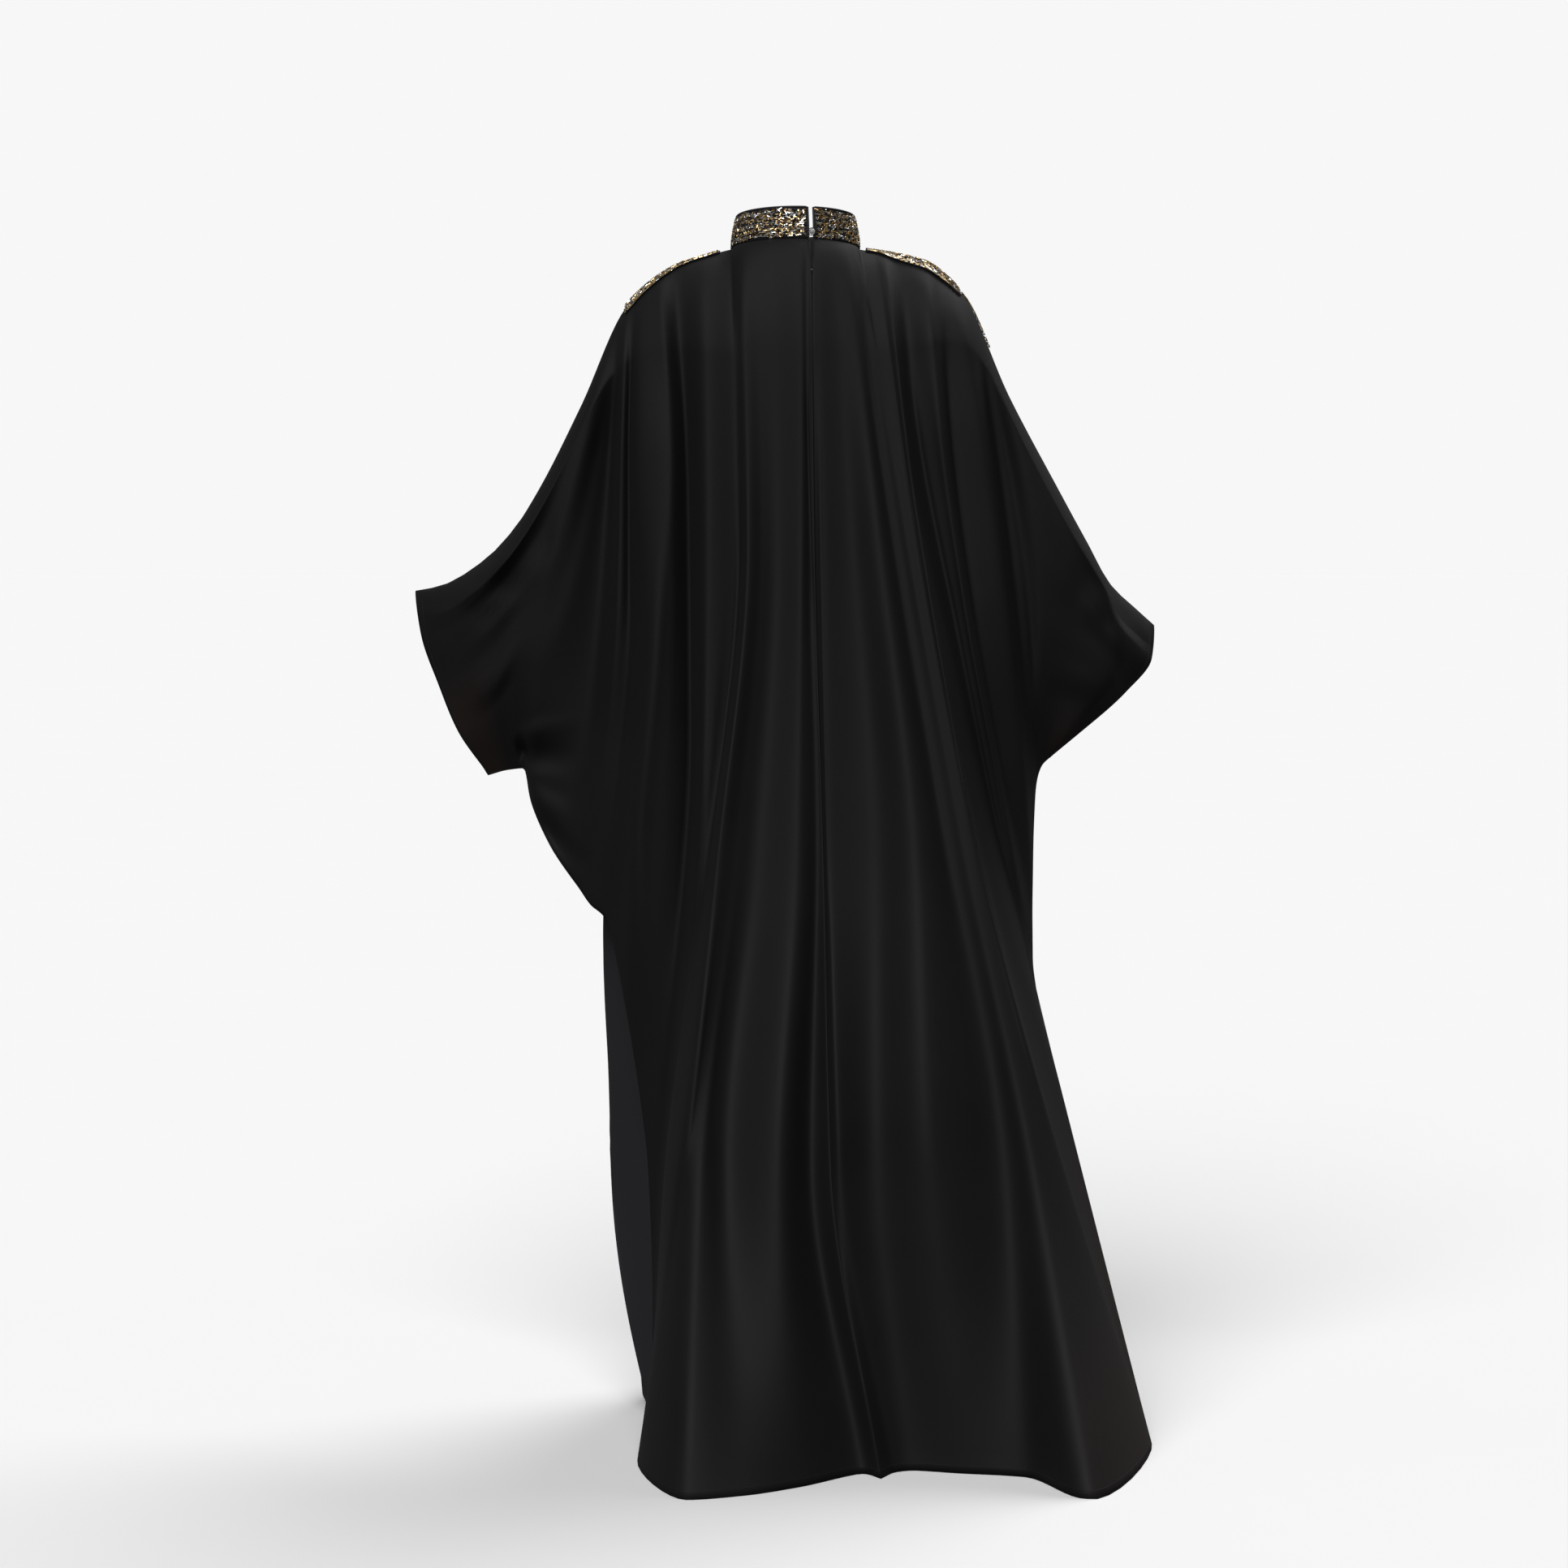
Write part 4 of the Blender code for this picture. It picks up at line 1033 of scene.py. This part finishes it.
class KAFTAN_OT_collar(bpy.types.Operator):
    """Makes the stand collar, its black binding and its beadwork"""
    bl_idname = "kaftan.collar"
    bl_label = "Collar"

    def execute(self, context):
        grid = [[collar_point(i / COLLAR_STEPS, 1 - j / COLLAR_ROWS)[0] for j in range(COLLAR_ROWS + 1)]
                for i in range(COLLAR_STEPS, -1, -1)]
        collar = lay_cloth("collar_cloth", grid, bpy.data.materials["crepe"], COLLAR_WALL)
        finish_piece(collar, "beadwork", "collar")
        edge = [collar_point(0, height)[0] for height in BINDING_HEIGHTS]
        edge += [collar_point(k / COLLAR_STEPS, 1)[0] for k in range(1, COLLAR_STEPS)]
        edge += [collar_point(1, height)[0] for height in reversed(BINDING_HEIGHTS)]
        finish_piece(thread_curve("collar_binding", edge, BINDING_RADIUS, thread_finish()), "thread")
        self.add_beads(context.scene.kaftan_beads.bands)
        return {"FINISHED"}

    def add_beads(self, bands):
        """Adds the wavy bands of sequins and beads, line by line up the collar."""
        work = BeadWork("collar_beads", SEEDS["collar"])
        lines = bands * ROWS_PER_BAND
        count = round(COLLAR_LENGTH / BEAD_PITCH)
        for line in range(lines):
            level = BEADED_FROM + BEADED_SHARE * (line + 0.5) / lines
            band, row = divmod(line, ROWS_PER_BAND)
            shares = BAND_SHARES["dark" if row == ROWS_PER_BAND - 1 else ("gold" if band % 2 else "silver")]
            for k in range(count):
                share = (k + 0.5 + work.random.uniform(-BEAD_STRAY_ALONG, BEAD_STRAY_ALONG)) / count
                if not COLLAR_BARE < share < 1 - COLLAR_BARE:
                    continue
                wave = BAND_WAVE * math.sin(2 * math.pi * (share * BAND_WAVES + BAND_SHIFT * band))
                height = level + wave + work.random.uniform(-BEAD_STRAY_UP, BEAD_STRAY_UP)
                point, normal = collar_point(share, min(max(height, BEAD_HEIGHTS[0]), BEAD_HEIGHTS[1]))
                ahead = collar_point(share + BEAD_AHEAD, height)[0] - collar_point(share, height)[0]
                kind = KINDS[work.pick(COLLAR_KINDS)]
                tilt = Vector([work.random.uniform(-BEAD_TILT, BEAD_TILT) for _ in range(3)])
                turn = Matrix.Rotation(work.random.gauss(0, SPINS["collar"]), 3, normal)
                matrix = stand_on(point, (normal + tilt).normalized(), turn @ ahead)
                work.add(kind, matrix, work.pick(shares))
        work.finish("beadwork", bead_finishes())


def band_line(side, share):
    """The points of a shoulder band across the seam at a share of its length, from back to front."""
    first, last = BAND_LINES[side]
    at = first + (last - first) * share
    back, front = Drop(side, "back", at), Drop(side, "front", at)
    widened = TRIM_NARROW + (1 - TRIM_NARROW) * smooth(*TRIM_WIDENS, share)
    reach = widened * TRIM_BACK * min(back.round, MOST_ROUNDED)
    far = TRIM_FRONT * min(front.round, MOST_ROUNDED)
    points = []
    for k in range(BAND_CROSS_STEPS + 1):
        thirds = 3 * k / BAND_CROSS_STEPS
        if thirds < 1:
            points.append(back.plain_point(reach * (1 - thirds)))
        else:
            points.append(front.plain_point(far * ((thirds - 1) / 2) ** TRIM_CROWD))
    return points


def band_normals(side, lines):
    """The way out of the cloth at each point of a shoulder band."""
    outs = []
    for i, line in enumerate(lines):
        before, after = lines[max(i - 1, 0)], lines[min(i + 1, BAND_STEPS)]
        row = []
        for j in range(BAND_CROSS_STEPS + 1):
            along = after[j] - before[j]
            over = line[min(j + 1, BAND_CROSS_STEPS)] - line[max(j - 1, 0)]
            row.append(over.cross(along).normalized() * SIGNS[side])
        outs.append(row)
    return outs


class KAFTAN_OT_shoulder_bands(bpy.types.Operator):
    """Makes the beaded band over each shoulder seam"""
    bl_idname = "kaftan.shoulder_bands"
    bl_label = "Shoulder bands"

    def add_tail(self, work):
        """Adds the thin line of beads that runs on down the right arm's seam."""
        first, last = TAIL_LINES
        places = [first + (last - first) * k / TAIL_BEADS for k in range(TAIL_BEADS + 2)]
        backs = [Drop("right", "back", at) for at in places]
        fronts = [Drop("right", "front", at) for at in places]
        for k in range(TAIL_BEADS + 1):
            for row, drops in enumerate((backs, fronts)):
                point = drops[k].plain_point(TAIL_DROP)
                along = drops[k + 1].plain_point(TAIL_DROP) - point
                over = fronts[k].plain_point(TAIL_DROP) - backs[k].plain_point(TAIL_DROP)
                normal = along.cross(over).normalized()
                kind = ("bugle", "seed")[(k + row) % 2]
                spin = Matrix.Rotation(work.random.gauss(0, SPINS["tail"]), 3, normal)
                work.add(kind, stand_on(point + normal * TRIM_CLEAR, normal, spin @ along),
                         work.pick(BAND_SHARES["gold"]))

    def execute(self, context):
        for side in SIDES:
            lines = [band_line(side, i / BAND_STEPS) for i in range(BAND_STEPS + 1)]
            outs = band_normals(side, lines)
            top = TRIM_CLEAR + BAND_CLOTH
            grid = [[p + n * top for p, n in zip(line, row)] for line, row in zip(lines, outs)]
            if side == "right":
                grid = grid[::-1]
            base = lay_cloth(f"shoulder_band_{side}", grid, bpy.data.materials["crepe"], BAND_CLOTH)
            finish_piece(base, "beadwork", f"shoulder_trim_{side}")
            work = BeadWork(f"shoulder_beads_{side}", SEEDS[side])
            for i in range(1, BAND_STEPS):
                for j in range(BAND_CROSS_STEPS + 1):
                    edge = j in (0, BAND_CROSS_STEPS)
                    if edge and i % 2 or j % ROWS_PER_BAND == 1 and side == "left" and i % 3:
                        continue
                    point = lines[i][j] + outs[i][j] * top
                    along = lines[i + 1][j] - lines[i - 1][j]
                    kind = "bugle" if edge else KINDS[work.pick(BAND_KINDS)]
                    spin = Matrix.Rotation(0 if edge else work.random.gauss(0, SPINS["band"]), 3, outs[i][j])
                    shares = BAND_SHARES["gold" if edge or j % ROWS_PER_BAND else "silver"]
                    work.add(kind, stand_on(point, outs[i][j], spin @ along), work.pick(shares))
            if side == "right":
                self.add_tail(work)
            work.finish("beadwork", bead_finishes())
        return {"FINISHED"}


class KAFTAN_OT_fastening(bpy.types.Operator):
    """Makes the faceted bead that closes the collar, and its thread loop"""
    bl_idname = "kaftan.fastening"
    bl_label = "Bead and loop"

    def execute(self, context):
        x = LEFT[0].top
        centre = Vector((x - BUTTON_SIDE, neck_depth(x) + BUTTON_OUT, BUTTON_HEIGHT))
        made, tree, shader = new_material("clear_bead", Roughness=0.04, Transmission_Weight=0.75, IOR=1.52,
                                          Specular_IOR_Level=0.7)
        cloud = pattern(tree, "ShaderNodeTexNoise", object_place(tree), Scale=260.0)
        tree.links.new(mixed(tree, (0.62, 0.64, 0.66), (0.95, 0.94, 0.92), cloud),
                       shader.inputs["Base Color"])
        bm = bmesh.new()
        bmesh.ops.create_icosphere(bm, subdivisions=2, radius=BUTTON_RADIUS)
        bmesh.ops.translate(bm, verts=bm.verts, vec=centre)
        finish_piece(link("glass_bead", mesh_of("glass_bead", bm, made)), "bead", "button")
        route = []
        for k in range(LOOP_STEPS + 1):
            turn = LOOP_MOUTH + (2 * math.pi - 2 * LOOP_MOUTH) * k / LOOP_STEPS
            route.append(Vector((math.cos(turn) * LOOP_STRETCH, 0, math.sin(turn))) * LOOP_RADIUS)
        sewn = Vector((LOOP_REACH, 0, LOOP_FEET))
        route = [centre + place for place in (sewn, *route, sewn * Vector((1, 0, -1)))]
        for place in route:
            place.y = neck_depth(place.x) + LOOP_OUT
        finish_piece(thread_curve("bead_loop", route, LOOP_THREAD, thread_finish()), "thread", "button_loop")
        return {"FINISHED"}


class KAFTAN_OT_stitches(bpy.types.Operator):
    """Makes the rows of stitches that hold the hems and the cuffs"""
    bl_idname = "kaftan.stitches"
    bl_label = "Stitches"

    def execute(self, context):
        pitch = context.scene.kaftan_cloth.stitch * STITCH_SPACING
        for side in SIDES:
            for face in ("back", "front"):
                last = len(SIDES[side]) - 1
                hem = []
                for k in range(HEM_LINE[side] * STITCH_STEPS + 1):
                    drop = Drop(side, face, k / STITCH_STEPS)
                    hem.append(drop.point(1 - HEM_WIDE / drop.length))
                drop = Drop(side, face, last - CUFF_WIDE)
                cuff = [drop.point(k / CUFF_STEPS) for k in range(1, CUFF_STEPS)]
                work = BeadWork(f"stitches_{face}_{side}")
                outward = Vector((0, 1 if face == "back" else -1, 0))
                for line in (hem, cuff):
                    self.sew(work, line, pitch, outward)
                work.finish("thread", [thread_finish()])
        return {"FINISHED"}

    def sew(self, work, line, pitch, outward):
        """Lays stitches along a line of points."""
        ahead = pitch / 2
        for first, second in zip(line, line[1:]):
            along = second - first
            while ahead < along.length:
                normal = along.cross(outward.cross(along)).normalized()
                place = first + along * (ahead / along.length) + normal * STITCH_RADIUS / 2
                work.add("stitch", stand_on(place, normal, along), 0)
                ahead += pitch
            ahead -= along.length


class KAFTAN_OT_studio(bpy.types.Operator):
    """Sets up the pale floor, the soft lights and the camera"""
    bl_idname = "kaftan.studio"
    bl_label = "Studio"

    def execute(self, context):
        studio = context.scene.kaftan_studio
        scene = context.scene
        world = bpy.data.worlds.new("surround")
        world.use_nodes = True
        tree = world.node_tree
        seen = node(tree, "ShaderNodeLightPath").outputs["Is Camera Ray"]
        background = tree.nodes["Background"]
        background.inputs["Color"].default_value = (1, 1, 1, 1)
        tree.links.new(ranged(tree, seen, studio.fill, studio.surround), background.inputs["Strength"])
        scene.world = world
        made, tree, shader = new_material("floor", Roughness=0.9, Specular_IOR_Level=0.0)
        grain = pattern(tree, "ShaderNodeTexNoise", object_place(tree), Scale=3.0)
        pale = tuple(studio.floor)
        tree.links.new(mixed(tree, tuple(c * FLOOR_TONE for c in pale), pale, grain),
                       shader.inputs["Base Color"])
        bm = bmesh.new()
        bmesh.ops.create_grid(bm, x_segments=1, y_segments=1, size=FLOOR_HALF)
        bmesh.ops.translate(bm, verts=bm.verts, vec=(0, 0, FLOOR - FLOOR_CLEAR))
        floor = link("floor", mesh_of("floor", bm, made))
        floor.visible_diffuse = False
        floor.visible_glossy = False
        for name, place in LIGHT_PLACES.items():
            lamp = bpy.data.lights.new(name, "SUN")
            lamp.energy = getattr(studio, name)
            lamp.angle = SOFTNESS
            holder = link(name, lamp)
            holder.location = place
            holder.rotation_euler = (-holder.location).to_track_quat("-Z", "Y").to_euler()
        camera = bpy.data.cameras.new("camera")
        camera.lens = CAMERA_LENS
        camera.clip_end = CAMERA_SEES
        holder = link("camera", camera)
        holder.location = CAMERA_PLACE
        holder.rotation_euler = (math.pi / 2 - CAMERA_TILT, 0, math.pi)
        scene.camera = holder
        scene.view_settings.view_transform = "Standard"
        return {"FINISHED"}


class KAFTAN_PT_sidebar(bpy.types.Panel):
    """Lists the pieces and their settings"""
    bl_idname = "KAFTAN_PT_sidebar"
    bl_label = "Batwing kaftan"
    bl_space_type = "VIEW_3D"
    bl_region_type = "UI"
    bl_category = "Kaftan"

    def draw(self, context):
        for operator in OPERATORS:
            self.layout.operator(operator.bl_idname)
        for name in SETTINGS:
            group = getattr(context.scene, name)
            for key in group.bl_rna.properties.keys():
                if key not in ("rna_type", "name"):
                    self.layout.prop(group, key)


SETTINGS = {"kaftan_cloth": KaftanCloth, "kaftan_beads": KaftanBeads, "kaftan_studio": KaftanStudio}
OPERATORS = (KAFTAN_OT_back_panels, KAFTAN_OT_front_panel, KAFTAN_OT_collar, KAFTAN_OT_shoulder_bands,
             KAFTAN_OT_fastening, KAFTAN_OT_stitches, KAFTAN_OT_studio)


def register():
    for made in (*SETTINGS.values(), *OPERATORS, KAFTAN_PT_sidebar):
        bpy.utils.register_class(made)
    for name, group in SETTINGS.items():
        setattr(bpy.types.Scene, name, PointerProperty(type=group))


def unregister():
    for name in SETTINGS:
        delattr(bpy.types.Scene, name)
    for made in (KAFTAN_PT_sidebar, *reversed(OPERATORS), *reversed(tuple(SETTINGS.values()))):
        bpy.utils.unregister_class(made)


def main():
    register()
    bpy.ops.kaftan.back_panels()
    bpy.ops.kaftan.front_panel()
    bpy.ops.kaftan.collar()
    bpy.ops.kaftan.shoulder_bands()
    bpy.ops.kaftan.fastening()
    bpy.ops.kaftan.stitches()
    bpy.ops.kaftan.studio()


if __name__ == "__main__":
    main()
